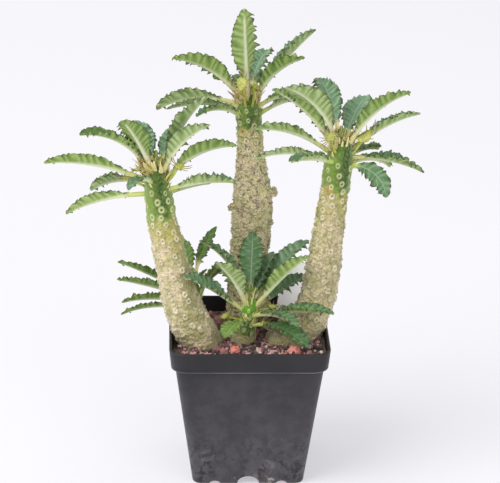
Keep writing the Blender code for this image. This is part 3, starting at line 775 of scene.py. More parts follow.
@dataclass(frozen=True)
class PotFinish:
    """Satin black moulded plastic: greyer where it is rubbed, greyer below the band and more so towards the
    foot, with dirt near the foot and a painted highlight along the band's lower edge.
    """

    plastic: Colour = (0.011, 0.0105, 0.0125)
    rubbed: Colour = (0.030, 0.028, 0.034)
    # Grey over the body below the band.
    body_grey: Colour = (0.110, 0.102, 0.115)
    dirt: Colour = (0.420, 0.370, 0.310)
    # Painted highlight: a thin light line along the band's lower edge.
    line: Colour = (0.230, 0.225, 0.240)
    highlight_height: float = 0.0816
    highlight_half: float = 0.0007

    def build(self, effects: Effects) -> Material:
        """Builds the material.

        Args:
            effects: The shared effects.

        Returns:
            The material.
        """
        paint = Paint("pot_plastic", effects, Roughness=0.42, Specular_IOR_Level=0.34)
        mix, mottle = paint.mix, paint.mottle
        broad, height = mottle(28.0, 1.6), paint.height()
        worn = paint.value("Pointiness", "ShaderNodeNewGeometry").spread(0.52, 0.62)
        base = mix(broad * 0.5 + worn * 0.6, self.plastic, self.rubbed)
        # Greyer below the band, more so towards the foot, in blotches, less where wiped.
        greyed = height.spread(0.0815, 0.0805, 0.0, height.spread(0.08, 0.0, 0.14, 0.76))
        greyed = greyed * mottle(130.0, 2.2).spread(0.2, 0.8, 0.72, 1.12)
        wiped = mottle(230.0, 3.8).spread(0.50, 0.80) * height.spread(0.042, 0.012, 0.04, 1.0)
        wiped = wiped * mottle(48.0, 2.6).spread(0.25, 0.70, 0.30, 1.0)
        greyed = greyed * (1.0 - wiped) * broad.spread(0.0, 1.0, 0.6, 1.0)
        base = mix(greyed, base, self.body_grey)
        # Painted highlight along the band's lower edge.
        apart = paint.sum("ABSOLUTE", height - self.highlight_height)
        highlighted = apart.spread(self.highlight_half, 0.0) * broad.spread(0.2, 0.8, 0.35, 1.0)
        base = mix(highlighted, base, self.line)
        splashes = paint.soiling(0.0, 0.022, 150.0, 0.17) * 0.75
        smears = paint.soiling(0.0, 0.070, 55.0, 0.20) * 0.22
        dirty = paint.sum("MAXIMUM", splashes, smears)
        satin = mottle(340.0, 1.5).spread(0.0, 1.0, 0.34, 0.50)
        paint.shade(Base_Color=mix(dirty, base, self.dirt), Roughness=dirty * 0.4 + satin)
        return paint.roughen(1300.0, 0.04, 0.5)


@dataclass(frozen=True)
class LabelFinish:
    """Smooth white plastic with faint scuffs and soil at its foot; it glows faintly in its own colour:
    painted light.
    """

    plastic: Colour = (0.900, 0.890, 0.910)
    scuffed: Colour = (0.800, 0.790, 0.820)
    dirt: Colour = (0.300, 0.220, 0.170)

    def build(self, effects: Effects) -> Material:
        """Builds the material.

        Args:
            effects: The shared effects.

        Returns:
            The material.
        """
        # Painted light: the label glows faintly in its own colour.
        paint = Paint("label_plastic", effects, Roughness=0.4, Emission_Strength=0.25)
        base = paint.mix(paint.mottle(60.0, 1.2) * 0.3, self.plastic, self.scuffed)
        shown = paint.mix(paint.soiling(0.084, 0.096, 210.0, 0.38) * 0.8, base, self.dirt)
        satin = paint.mottle(650.0, 1.5).spread(0.0, 1.0, 0.32, 0.48)
        paint.shade(Base_Color=shown, Emission_Color=shown, Roughness=satin)
        return paint.roughen(900.0, 0.03, 0.4)


ROSE, BROWN, WINE = (0.720, 0.385, 0.380), (0.230, 0.115, 0.105), (0.245, 0.095, 0.108)
BEIGE, COAL, RUST = (0.860, 0.720, 0.630), (0.030, 0.022, 0.024), (0.440, 0.150, 0.120)
GRAVEL_TONES = (ROSE, COAL, WINE, COAL, ROSE, WINE, COAL, BEIGE, RUST, COAL, BROWN)


class Finishes:
    """Every material of the object."""

    def __init__(self) -> None:
        """Builds them."""
        effects = Effects()
        self.leaf = LeafFinish().build(effects)
        self.bark = BarkFinish().build(effects)
        self.paper = PaperFinish().build(effects)
        self.bloom = BloomFinish().build(effects)
        self.pot = PotFinish().build(effects)
        self.label = LabelFinish().build(effects)
        self.gravel, self.compost, self.red_lava, self.dark_lava = (
            StoneFinish(*given).build(effects) for given in (
                ("gravel", GRAVEL_TONES, (0.045, 0.022, 0.022), 850.0, 0.35, 0.16),
                ("compost", ((0.060, 0.036, 0.028),), (0.012, 0.008, 0.007), 500.0),
                ("red_lava", ((0.960, 0.270, 0.180),), (0.330, 0.045, 0.035), 620.0, 0.62, 0.45, 620.0),
                ("dark_lava", ((0.300, 0.115, 0.100),), (0.060, 0.022, 0.024), 600.0, 0.5, 0.22, 500.0)))


# Plant


@dataclass(frozen=True)
class Leaf:
    """One leaf's own sizes.

    Attributes:
        heading: Compass angle in degrees, from +X towards +Y.
        rise: Climb at its base, in degrees.
        fall: Climb at its tip.
        length: Its length.
        drop: How far below the stem's top it grows.
        half: Its half-width at the widest.
        fold: How far each half folds up, in degrees.
        roll: Lifts the side towards higher headings, in degrees.
        fresh: 1 on a leaf that is only just opening.
        wax: Share of pale bloom on it, drawn at random where it is negative.
    """

    heading: float
    rise: float
    fall: float
    length: float
    drop: float
    half: float = 8.5
    fold: float = 48.0
    roll: float = 0.0
    fresh: float = 0.0
    wax: float = -1.0


@dataclass(frozen=True)
class Bloom:
    """One flower head's own sizes.

    Attributes:
        heading: Compass angle of its stalk in degrees.
        rise: Climb of its stalk.
        drop: How far below the stem's top it grows.
        stalk: Length of its stalk.
        radius: Radius of its solid.
        face: Climb of the way that its face looks.
        twist: Turn of its face away from the heading.
    """

    heading: float
    rise: float
    drop: float
    stalk: float
    radius: float
    face: float
    twist: float = 0.0


@dataclass
class LeafBlade:
    """One V-folded leaf with a crinkled, toothed margin, raised veins and a thick midrib."""

    leaf: Leaf
    start: Vector
    root_radius: float
    seed: int
    waxy: float = 1.0
    around: int = 36
    along: int = 108
    petiole_half: float = 1.85
    petiole_taper: float = 0.4
    petiole_thick: float = 1.9
    blade_thick: float = 0.42
    crinkle_pitch: float = 3.8
    crinkle_height: float = 1.10
    ragged: float = 0.42
    tooth: float = 0.13
    minor_tooth: float = 0.085
    groove: float = 0.6
    edge_band: float = 0.95
    usual_length: float = 60.0
    sidestep: float = 0.9
    twist: float = 7.0
    bare_tint: float = -0.8
    bare_fresh: float = 0.08

    def __post_init__(self) -> None:
        """Draws the leaf's own irregularities."""
        rng = np.random.default_rng(self.seed)
        self.phases = rng.uniform(0.0, FULL_TURN, (2, 6))
        drawn = float(rng.uniform(0.0, 1.0))
        self.tint = drawn if self.leaf.wax < 0.0 else self.leaf.wax
        self.sway = float(rng.uniform(-1.0, 1.0))
        self.pucker = Ripple(self.seed, 2.7, 14)
        self.frill = Ripple(self.seed + 7, 2.0, 16)

    @staticmethod
    def width_share(share: Array) -> Array:
        """Follows the blade's width: nothing along the stalk, widest past the middle, a blunt tip.

        Args:
            share: Shares of the leaf's length.

        Returns:
            Shares of its full half-width.
        """
        swell = smooth_step(0.10, 0.60, share)
        close = np.clip((1.0 - share) / 0.38, 0.0, 1.0)
        return swell * np.clip(1.0 - (1.0 - close) ** 2, 0.0, None) ** 0.66

    def midrib(self, share: Array) -> tuple[Array, Array, Array]:
        """Follows the midrib.

        Args:
            share: Shares of the leaf's length, 0 to 1.

        Returns:
            The points, the side vectors and the up vectors.
        """
        leaf = self.leaf
        flat, level = (np.array(v) for v in heading(leaf.heading))
        climb = math.radians(leaf.rise)
        bend = math.radians(leaf.fall - leaf.rise) or 1e-6
        reach = leaf.length + self.root_radius * 0.25
        angle = climb + bend * share
        out = (np.sin(angle) - math.sin(climb)) / bend * reach
        lift = (math.cos(climb) - np.cos(angle)) / bend * reach
        above = np.array(UP)
        points = np.array(self.start) + out[:, None] * flat + lift[:, None] * above
        points += level * (self.sway * self.sidestep * share ** 2)[:, None]
        up = swing(above, -flat, angle)
        roll = np.radians(leaf.roll + self.twist * self.sway * share)
        return points, swing(level, up, roll), swing(up, -level, roll)

    def wander(self, share: Array, hand: Array, count: float) -> Array:
        """Draws an uneven wobble along the margin, different on each side.

        Args:
            share: Shares of the leaf's length.
            hand: 1 on one side of the midrib and -1 on the other.
            count: Number of coarse teeth on a side.

        Returns:
            The wobble, about -1 to 1.
        """
        total = np.zeros_like(share)
        for side_index, sign in enumerate((1.0, -1.0)):
            phase = self.phases[side_index]
            wave = sum(np.sin(FULL_TURN * share * count * rate + phase[k])
                       for k, rate in enumerate((0.21, 0.37, 0.53)))
            total += np.where(hand == sign, wave / 1.8, 0.0)
        return total

    @staticmethod
    def tip_fade(share: Array) -> Array:
        """Returns 1 along the leaf, fading to 0 at its tip."""
        return 1.0 - smooth_step(0.90, 1.0, share)

    def margin(self, v: Array, near: Array, hand: Array) -> tuple[Array, ...]:
        """Draws the outline: a stalk that widens into a blade with coarse and fine teeth.

        Args:
            v: Shares along the leaf.
            near: Shares of the way out from the midrib.
            hand: 1 on one side of the midrib and -1 on the other.

        Returns:
            Where the blade is, the half-width, then the teeth's phase, wobble and unevenness, and the
            profiles of the coarse and of the fine ones.
        """
        leaf = self.leaf
        slim = min(1.0, leaf.half / 5.0)
        stalk_half = self.petiole_half * (1.0 - self.petiole_taper * v) * self.tip_fade(v) * slim
        blade_half = leaf.half * self.width_share(v)
        blade = smooth_step(1.2, 3.2, blade_half)
        size = leaf.length / self.usual_length
        count = max(4.0, leaf.length * 0.86 / (self.crinkle_pitch * (0.55 + 0.45 * size)))
        wobble = self.wander(v, hand, count)
        phase = FULL_TURN * (count * (v - 0.060 * near) + 0.25 * wobble) + hand * 0.8
        lobe = np.abs(np.sin(phase / 2.0)) ** 0.6
        uneven = 1.0 + 0.60 * self.wander(v * 0.9 + 0.1, hand, count * 1.3)
        minor = np.abs(np.sin(phase * 1.27 + 1.9 * wobble)) ** 0.5
        teeth = self.tooth * (lobe - 0.75) * uneven + self.minor_tooth * (minor - 0.6)
        wide = np.maximum(stalk_half, blade_half) * (1.0 + blade * near ** 5 * teeth)
        return blade, wide, phase, wobble, uneven, lobe, minor

    def place(self, u: Array, v: Array) -> Placed:
        """Places the vertices: across the top from margin to margin, and back along the underside.

        Args:
            u: Shares round the cross-section.
            v: Shares along the leaf.

        Returns:
            The points and the marks.
        """
        leaf = self.leaf
        under = (u > 0.5).astype(float)
        sweep = np.where(u <= 0.5, 1.0 - 4.0 * u, 4.0 * u - 3.0)
        hand = np.where(sweep >= 0.0, 1.0, -1.0)
        near = np.abs(sweep)
        near = 0.5 * near + 0.5 * near * near * (3.0 - 2.0 * near)
        centre, side, up = self.midrib(v)
        blade, wide, phase, wobble, uneven, lobe, minor = self.margin(v, near, hand)
        across = wide * near
        reach = v * leaf.length
        # The fold, and the waves that run into it from the margin
        fold = np.radians(leaf.fold * (1.04 - 0.22 * v))
        round_off = np.sqrt(across ** 2 + self.groove ** 2)
        tilt = fold * across / round_off
        nibbled = self.frill.at(np.stack([across, reach, hand], axis=1))
        lateral = across * np.cos(fold) + 0.5 * self.ragged * blade * nibbled * near ** 6
        lift = np.sin(fold) * (round_off - self.groove) - 0.10 * wide * near ** 3 * blade
        outward = side * hand[:, None]
        normal = swing(up, -outward, tilt)
        height = self.crinkle_height * min(1.1, leaf.half / 8.0) * blade
        wave = np.sin(phase + 0.9) + 0.28 * np.cos(2.0 * phase + 1.8) + 0.22 * np.sin(3.0 * phase + wobble)
        relief = height * near ** 1.9 * wave * uneven
        relief += 0.50 * blade * np.sin(math.pi * np.clip(near, 0.0, 1.0)) ** 0.7 * (lobe - 0.7)
        relief -= blade * 0.85 * lobe * smooth_step(0.80, 1.0, near)
        spot = np.stack([reach, across * hand, 0.0 * v], axis=1)
        frill = self.ragged * blade * self.frill.at(spot) * near ** 5
        relief += blade * (0.30 - 0.12 * under) * self.pucker.at(spot) * near + frill
        top = centre + outward * lateral[:, None] + up * lift[:, None] + normal * relief[:, None]
        # The thickness below the top, with the midrib and the closed ends
        thick = self.petiole_thick + (0.75 - self.petiole_thick) * smooth_step(0.0, 0.85, v)
        rib_half = (0.60 + 1.75 * (1.0 - v) ** 2.2) * min(1.0, leaf.half / 6.0)
        rib = np.exp(-1.3 * (across / rib_half) ** 2)
        vein = bell(np.abs(np.sin(phase / 2.0)), 0.22) * blade * smooth_step(0.02, 0.2, near)
        body = self.blade_thick + (thick - self.blade_thick) * rib + 0.10 * vein
        body *= np.sqrt(np.clip(1.0 - near ** 7, 0.0, 1.0)) * min(1.0, 0.4 + 0.6 * leaf.half / 7.0)
        point = top - normal * (body * under)[:, None]
        ends = (v <= 0.0) | (v >= 1.0)
        core = centre - up * (thick * 0.4 * self.tip_fade(v))[:, None]
        point = np.where(ends[:, None], core, point)
        # The marks that the finish reads
        edge = bell(wide - across, self.edge_band * (0.45 + 0.75 * lobe * minor))
        edge *= smooth_step(0.6, 1.6, wide) * (0.45 + 0.55 * lobe * minor) * np.maximum(blade, v > 0.6)
        rib_mark = np.exp(-1.6 * (across / (rib_half * np.where(under > 0.5, 1.25, 0.42))) ** 2)
        rib_mark *= blade * (1.0 - smooth_step(0.86, 0.97, v))
        base = rib_mark * (1.0 - smooth_step(0.12, 0.50, v)) * under
        # Painted shade in the hollows of the crinkles and along their creases.
        hollow_shade = np.clip(0.5 - 0.62 * np.sin(phase + 0.9) * near ** 0.7, 0.0, 1.0)
        crease_shade = bell(np.sin(0.5 * phase + 0.45 + 0.25 * math.pi), 0.24) * blade
        crease_shade *= smooth_step(0.35, 0.85, near) * (1.0 - 0.4 * under)
        even = {
            "tint": self.tint * self.waxy + self.bare_tint * (1.0 - self.waxy),
            "fresh": leaf.fresh + self.bare_fresh * (1.0 - self.waxy),
            "blush": min(1.0, max(0.0, 1.15 - leaf.drop / 9.0)),
        }
        return point, {
            "crease_shade": crease_shade, "under": under, "edge": edge, "vein": vein, "rib": rib_mark, "hollow_shade": hollow_shade,
            "petiole": np.maximum((1.0 - blade) * (v < 0.5), base),
            **{label: np.full_like(v, value) for label, value in even.items()},
        }

    def build(self) -> Mesh:
        """Builds the leaf's mesh."""
        return wrapped_grid("leaf", self.around, self.along, self.place)


@dataclass
class FlowerHead:
    """A flower head: a bent stalk, a shallow cup with a face of tiny florets, and a fringe of fine bracts."""

    bloom: Bloom
    base: Vector
    stem_radius: float
    seed: int
    stand_off: float = 1.4
    stalk_radius: float = 0.75
    florets: int = 60
    bracts: int = 12
    cup_share: float = 0.78
    face_share: float = 0.84
    profile: tuple[tuple[float, float], ...] = (
        (0.0, -1.0), (0.30, -0.95), (0.62, -0.45), (0.95, 0.4), (1.0, 0.85), (0.98, 1.2), (0.90, 1.35),
        (0.80, 1.25), (0.55, 1.30), (0.28, 1.38), (0.0, 1.42))

    def __post_init__(self) -> None:
        """Works out where the stalk runs and where the cup looks."""
        bloom = self.bloom
        flat, _ = heading(bloom.heading)
        climb, look = math.radians(bloom.rise), math.radians(bloom.face)
        self.root = self.base + flat * (self.stem_radius - 0.8)
        self.foot = self.base + flat * (self.stem_radius + self.stand_off)
        self.end = self.foot + (flat * math.cos(climb) + Vector((0, 0, math.sin(climb)))) * bloom.stalk
        aim, _ = heading(bloom.heading + bloom.twist)
        self.radius = bloom.radius * self.cup_share
        self.normal = aim * math.cos(look) + Vector((0, 0, math.sin(look)))
        self.turn = self.normal.to_track_quat("Z", "Y").to_matrix()

    def blank(self, values: Array, **given: Array) -> Marks:
        """Returns the marks of one part of the head, zero where not given."""
        return {key: given.get(key, np.zeros_like(values)) for key in ("face", "floret", "tip")}

    def tube(self, points: list[Vector], radii: tuple[float, float], tip: float) -> Mesh:
        """Builds a thin round tube on a bent line of three points, closed at both ends.

        Args:
            points: Its start, the point that it bends towards, and its end.
            radii: Its radius at each end.
            tip: The tip mark at its end.

        Returns:
            The mesh.
        """
        start, middle, end = (np.array(point) for point in points)

        def place(u: Array, v: Array) -> Placed:
            """Places the tube's vertices.

            Args:
                u: Shares round the shape.
                v: Shares along it.

            Returns:
                The points and the marks.
            """
            share = v[:, None]
            centre = start * (1 - share) ** 2 + middle * 2 * share * (1 - share) + end * share ** 2
            along = unit((middle - start) * (1 - share) + (end - middle) * share + 1e-9)
            first = unit(np.cross(along, np.array((0.31, 0.23, 0.92))))
            radius = (radii[0] + (radii[1] - radii[0]) * v) * between(v)
            ring = swing(first, np.cross(along, first), FULL_TURN * u)
            return centre + ring * radius[:, None], self.blank(v, tip=smooth_step(0.05, 0.55, v) * tip)

        return wrapped_grid("tube", 7, 8, place)

    def cup_place(self, u: Array, v: Array) -> Placed:
        """Places the cup's vertices, with a bump for each floret on its face.

        Args:
            u: Shares round the shape.
            v: Shares along it.

        Returns:
            The points and the marks.
        """
        rows = np.linspace(0.0, 1.0, len(self.profile))
        radius = np.interp(v, rows, [p[0] for p in self.profile]) * self.radius
        height = np.interp(v, rows, [p[1] for p in self.profile])
        angle = FULL_TURN * u
        flat = np.stack([np.cos(angle), np.sin(angle)], axis=1) * (radius * between(v))[:, None]
        number = np.arange(self.florets)
        turn, full = number * GOLDEN_ANGLE, self.radius * self.face_share
        spread = np.sqrt((number + 0.5) / self.florets) * full
        seats = np.stack([np.cos(turn), np.sin(turn)], axis=1) * spread[:, None]
        far = np.linalg.norm(flat[:, None, :] - seats[None, :, :], axis=2).min(axis=1)
        pitch = full * math.sqrt(math.pi / self.florets)
        face = smooth_step(0.62, 0.70, v)
        bump = np.clip(1.0 - (far / (pitch * 0.62)) ** 2, 0.0, 1.0) * face
        lobes = 1.0 + 0.05 * np.sin(angle * 9.0 + self.seed) * smooth_step(0.25, 0.4, v) * (1.0 - face)
        flat = flat * lobes[:, None]
        local = np.concatenate([flat, (height + 0.42 * bump)[:, None]], axis=1)
        local[:, 2] += 0.22 * radius * (radius / self.radius) * np.cos(2.0 * angle + self.seed)
        points = local @ np.array(self.turn).T + np.array(self.end)
        return points, self.blank(v, face=face, floret=bump)

    def build(self, name: str, finishes: Finishes, node: str) -> Object:
        """Builds the whole head as the piece that stands for its solid.

        Args:
            name: Name of the piece.
            finishes: The object's materials.
            node: The solid.

        Returns:
            The piece.
        """
        rng = np.random.default_rng(self.seed)
        parts = [
            self.tube([self.root, self.foot, self.end], (self.stalk_radius * 1.15, self.stalk_radius), 0.0),
            wrapped_grid("cup", 44, 40, self.cup_place),
        ]
        radius = self.radius
        for index in range(self.bracts):
            angle = FULL_TURN * (index + rng.uniform(-0.25, 0.25)) / self.bracts
            out = self.turn @ Vector((math.cos(angle), math.sin(angle), 0.0))
            rise = float(rng.uniform(0.2, 1.1))
            reach = radius * float(rng.uniform(0.6, 2.1))
            root = self.end + out * radius * 0.92 + self.normal * 0.9
            bend = root + (out + self.normal * rise * 0.3) * reach * 0.5
            tip = root + (out + self.normal * rise).normalized() * reach
            parts.append(self.tube([root, bend, tip], (0.36, 0.13), 1.0))
        return finished(name, welded(parts), finishes.bloom, Slot.BLOOM, (node,))


class ScaleKind(Enum):
    """The kinds of papery scale: lean outwards, times the usual length and width, and power of their tint."""

    LEAF_BASE = (0.9, 1.0, 1.0, 1.8)
    TUFT = (1.25, 1.0, 1.0, 0.9)
    COLLAR = (0.45, 1.0, 1.0, 1.8)
    FAN = (2.2, 1.5, 2.3, 1.8)


@dataclass
class Stem:
    """A stem with its crown: the scarred skin, the leaves, papery scales and flower heads.

    Levels are heights above the pot's underside and compass angles are in degrees, from +X towards +Y.

    Attributes:
        name: First part of its pieces' names.
        route: Centre and radius at points along it, from its foot up.
        green_from: Level where the bark turns green.
        leaves: Its leaves.
        blooms: Its flower heads.
        stubs: Level, compass angle and height of each old flower-stalk stub.
        knobs: Level, compass angle, radius and standing out of each corky knob.
        warts: Height of the skin's roughness, which also says how old the bark looks.
        scars_from: Level of the lowest leaf scar.
        scars_end: Drop below the stem's top where the scars stop.
        scar_step: Rise from one scar to the next.
        scar_turn: Turn from one scar to the next.
        yellow: Share of young yellow in the upper bark.
        vivid: Share of vivid green just below the crown.
        blemishes: Level, compass angle and size of each amber spot.
        peach_and_light: Level, compass angle and size of each rosy patch: partly the bark's own blush, partly
            painted light on the side facing the key light.
        young: Number of leaves just opening at the tip.
        waxy: 1 on a stem whose leaves carry pale bloom, and 0 where they are all bare.
        tip_shade: How strong the painted shade on the green is at the tip, under the crown's leaves.
        shade_stripe: Compass angle of the stripe of painted shade down from the tip, on the side away from
            the key light.
        top_scales: Number of scales in the tuft at the tip.
        collar: Number of scales in the ring round the tip.
        bare_stripe: Half-width of the stripe that no scale hides.
        fan: Compass angles where wide scales fan out.
        top_length: Times the usual size of every scale.
    """

    name: str
    route: tuple[tuple[float, float, float, float], ...]
    green_from: float
    leaves: tuple[Leaf, ...]
    blooms: tuple[Bloom, ...] = ()
    stubs: tuple[Triple, ...] = ()
    knobs: tuple[tuple[float, float, float, float], ...] = ()
    warts: float = 0.52
    scar_size: float = 1.0
    around: int = 112
    ring_pitch: float = 0.5
    foot_blend: float = 25.0
    dome: float = 4.6
    dome_rows: int = 9
    scars_from: float = 91.0
    scars_end: float = 2.0
    scar_step: float = 0.76
    scar_turn: float = 152.6
    turn_height: float = 2.5
    yellow: float = 1.0
    vivid: float = 0.0
    blemishes: tuple[Triple, ...] = ()
    peach_and_light: tuple[Triple, ...] = ()
    young: int = 7
    leaf_root: float = 0.35
    side_roll: float = 25.0
    leaf_width: float = 1.12
    waxy: float = 1.0
    tip_shade: float = 0.92
    shade_stripe: float = 298.0
    top_scales: int = 50
    collar: int = 44
    bare_stripe: float = 34.0
    fan: tuple[float, ...] = ()
    top_length: float = 1.0
    fan_scales: int = 9
    small_leaf: float = 20.0
    line_steps: int = 400

    def __post_init__(self) -> None:
        """Draws the stem's centre line through its route, and counts the rows of its skin."""
        self.seed = sum(ord(letter) for letter in self.name)
        self.foot, self.top = self.route[0][2], self.route[-1][2]
        self.rows = round((self.top - self.foot) / self.ring_pitch) + self.dome_rows
        step = (len(self.route) - 1) / self.line_steps
        self.line = np.array([self.smooth_point(i * step) for i in range(self.line_steps + 1)])
        self.rough = Ripple(self.seed, 5.0)
        self.fine = Ripple(self.seed + 1, 1.8, 28)

    def smooth_point(self, place: float) -> list[float]:
        """Reads a Catmull-Rom curve through the route.

        Args:
            place: Where to read it, from 0 to the route's last index.

        Returns:
            Centre and radius there.
        """
        last = len(self.route) - 1
        index = min(int(place), last - 1)
        t = place - index
        before, start = self.route[max(index - 1, 0)], self.route[index]
        end, after = self.route[index + 1], self.route[min(index + 2, last)]
        return [
            0.5 * (2 * b + (c - a) * t + (2 * a - 5 * b + 4 * c - d) * t * t
                   + (3 * b - a - 3 * c + d) * t ** 3)
            for a, b, c, d in zip(before, start, end, after)
        ]

    def axis(self, drop: float) -> tuple[Vector, Vector, float]:
        """Reads the stem near its top, where it is taken as straight.

        Args:
            drop: How far below the top.

        Returns:
            The centre, the direction and the radius.
        """
        top = Vector(self.route[-1][:3])
        along = (top - Vector(self.route[-2][:3])).normalized()
        return top - along * drop, along, self.route[-1][3]

    def scar_marks(self, height: Array, angle: Array, radius: Array) -> tuple[Array, ...]:
        """Lays old leaf scars round the stem on a spiral: a raised rim round a dark pit, with a ring of
        painted shade just outside the rim.

        Args:
            height: Heights of the vertices.
            angle: Their angles round the stem.
            radius: The stem's radius at each.

        Returns:
            The ring mark, the pit mark with the painted shade round each rim, and the height of the relief.
        """
        rng = np.random.default_rng(self.seed + 5)
        ring, pit_and_shade, lift = np.zeros_like(height), np.zeros_like(height), np.zeros_like(height)
        number = 0
        level = self.scars_from
        while level < self.top - self.scars_end:
            green = min(1.0, max(0.0, (level - self.green_from + 14.0) / 16.0))
            high = (1.85 + 0.10 * green) * self.scar_size * rng.uniform(0.82, 1.12)
            wide = high * rng.uniform(0.68, 0.82)
            centre = math.radians(number * self.scar_turn) + rng.uniform(-0.16, 0.16)
            drawn = rng.uniform()
            strength = (0.65 + 0.35 * drawn) * green + (0.28 + 0.87 * drawn ** 1.1) * (1.0 - green)
            seat = level + rng.uniform(-0.8, 0.8)
            near = np.abs(height - seat) < high * 2.6
            turn = (angle[near] - centre + math.pi) % FULL_TURN - math.pi
            rise = height[near] - seat
            far = np.hypot(turn * radius[near] / wide, rise / high)
            rim = bell(far - 0.74, 0.36)
            middle = bell(far, 0.34)
            ring[near] = np.maximum(ring[near], rim * strength)
            # Painted shade: a dark ring just outside the raised rim.
            rim_shade = 0.5 * (1.0 - 0.6 * green) * strength * bell(far - 1.28, 0.24)
            pit_and_shade[near] = np.maximum(pit_and_shade[near], np.maximum(middle * rng.uniform(0.2, 1.0), rim_shade))
            swell = (0.75 - 0.25 * green) * bell(far, 1.30) + 0.62 * rim - 0.65 * middle
            lift[near] += swell * strength * self.scar_size
            level += self.scar_step
            number += 1
        return ring, pit_and_shade, lift

    @staticmethod
    def patch(
        spots: tuple[Triple, ...], height: Array, angle: Array, radius: Array, strength: float,
    ) -> Array:
        """Lays soft round spots on the skin.

        Args:
            spots: Level, compass angle and size of each spot.
            height: Heights of the vertices.
            angle: Their angles round the stem.
            radius: The stem's radius at each.
            strength: The mark at the middle of a spot, which is cut off at 1.

        Returns:
            The mark at each vertex.
        """
        share = np.zeros_like(height)
        for level, compass, size in spots:
            turn = np.radians(degrees_apart(np.degrees(angle), compass))
            spot = np.exp(-((height - level) ** 2 + (turn * radius) ** 2) / size ** 2)
            share = np.maximum(share, strength * spot)
        return np.clip(share, 0.0, 1.0)

    def stub_lift(self, height: Array, angle: Array) -> Array:
        """Works out how far the old flower-stalk stubs lift the skin.

        Args:
            height: Heights of the vertices.
            angle: Their angles round the stem.

        Returns:
            The lift of each.
        """
        lift = np.zeros_like(height)
        for level, compass, stands_out in self.stubs:
            apart = degrees_apart(np.degrees(angle), compass)
            apart_square = ((height - level) / 2.5) ** 2 + (apart / 14.0) ** 2
            lift += stands_out * np.exp(-apart_square ** 1.7)
        return lift

    def line_at(self, height: Array) -> tuple[Array, Array, Array]:
        """Reads the stem's line.

        Args:
            height: Levels to read it at.

        Returns:
            The centres, the radii and the directions, which turn upright towards the foot.
        """
        line = self.line
        centre = np.stack([np.interp(height, line[:, 2], line[:, k]) for k in range(2)] + [height], axis=1)
        radius = np.interp(height, line[:, 2], line[:, 3])
        slope = np.gradient(line[:, :3], axis=0)
        tangent = unit(np.stack([np.interp(height, line[:, 2], slope[:, k]) for k in range(3)], axis=1))
        lean = np.clip((height - self.foot) / self.foot_blend, 0.0, 1.0)[:, None]
        return centre, radius, unit(np.array(UP) * (1.0 - lean) + tangent * lean)

    def skin_place(self, u: Array, v: Array) -> Placed:
        """Places the vertices of the skin from the foot to the domed tip.

        Args:
            u: Shares round the shape.
            v: Shares along it.

        Returns:
            The points and the marks.
        """
        dome_from = 1.0 - self.dome_rows / self.rows
        height = self.foot + (self.top - self.foot) * np.clip(v / dome_from, 0.0, 1.0)
        dome = np.clip((v - dome_from) / (1.0 - dome_from), 0.0, 1.0)
        centre, radius, tangent = self.line_at(height)
        across = unit(np.array((1.0, 0.0, 0.0)) - tangent * tangent[:, :1])
        angle = FULL_TURN * u
        out = swing(across, np.cross(tangent, across), angle)
        ring, pit_and_shade, lift = self.scar_marks(height, angle, radius)
        surface = centre + out * radius[:, None]
        coarse, fine = self.rough.at(surface), self.fine.at(surface)
        wander = self.turn_height * (0.8 * coarse + 1.2 * np.sin(angle + self.seed))
        green = smooth_step(-self.turn_height, self.turn_height, height - self.green_from + wander)
        stub = self.stub_lift(height, angle)
        crumbled = np.clip(np.abs(stub) * 0.6, 0.0, 1.6)
        rough = self.warts * (1.0 - 0.75 * green) * (0.45 * coarse + (0.55 + 0.5 * crumbled) * fine)
        rise = np.clip(lift + stub + rough, -0.8, 1.5) + stub * (0.70 + 0.22 * fine)
        quarter = 0.5 * math.pi * dome
        spread = (radius + rise) * np.cos(quarter) * between(v)
        point = centre + tangent * (np.sin(quarter) * self.dome)[:, None] + out * spread[:, None]
        tall = (height - self.scars_from) / (self.green_from - self.scars_from)
        below_top, above_turn = height - self.top, height - self.green_from
        # Painted shade: a dark stripe down from the tip on the side away from the key light, and darker green
        # just under the crown.
        shade_stripe = bell(degrees_apart(np.degrees(angle), self.shade_stripe), 40.0)
        shade_stripe *= smooth_step(-33.0, -19.0, below_top + 4.0 * coarse) * (0.85 + 0.15 * fine)
        return point, {
            "ring": ring, "pit_and_shade": pit_and_shade, "green": green, "low": np.clip(1.0 - tall, 0.0, 1.0),
            "tip": np.maximum(0.45 * smooth_step(-12.0, -3.0, below_top), shade_stripe) * self.tip_shade,
            "turn": bell(above_turn + self.turn_height * (2.8 + 1.2 * coarse), 3.8 * self.turn_height),
            "rugged": np.full_like(height, self.warts), "yellow": np.full_like(height, self.yellow),
            "vivid": self.vivid * smooth_step(-12.0, -7.0, below_top),
            "amber": self.patch(self.blemishes, height, angle, radius, 1.3),
            # Rosy patches, partly painted light.
            "peach_and_light": self.patch(self.peach_and_light, height, angle, radius, 1.0) * (0.75 + 0.25 * coarse),
        }

    def knob(self, level: float, compass: float, size: float, stands_out: float) -> Mesh:
        """Makes the ragged corky knob that an old flower stalk left.

        Args:
            level: Height of its middle.
            compass: Its heading on the stem.
            size: Its radius.
            stands_out: How far its middle lies beyond the skin.

        Returns:
            The knob's mesh, which carries the skin's marks.
        """
        centre, radius, _ = self.line_at(np.array([float(level)]))
        out, _ = heading(compass)
        middle = centre[0] + np.array(out) * (radius[0] + stands_out)
        seed = self.seed + round(level)
        crumb, lump = Ripple(seed, 1.5, 28), Ripple(seed + 1, 3.6)

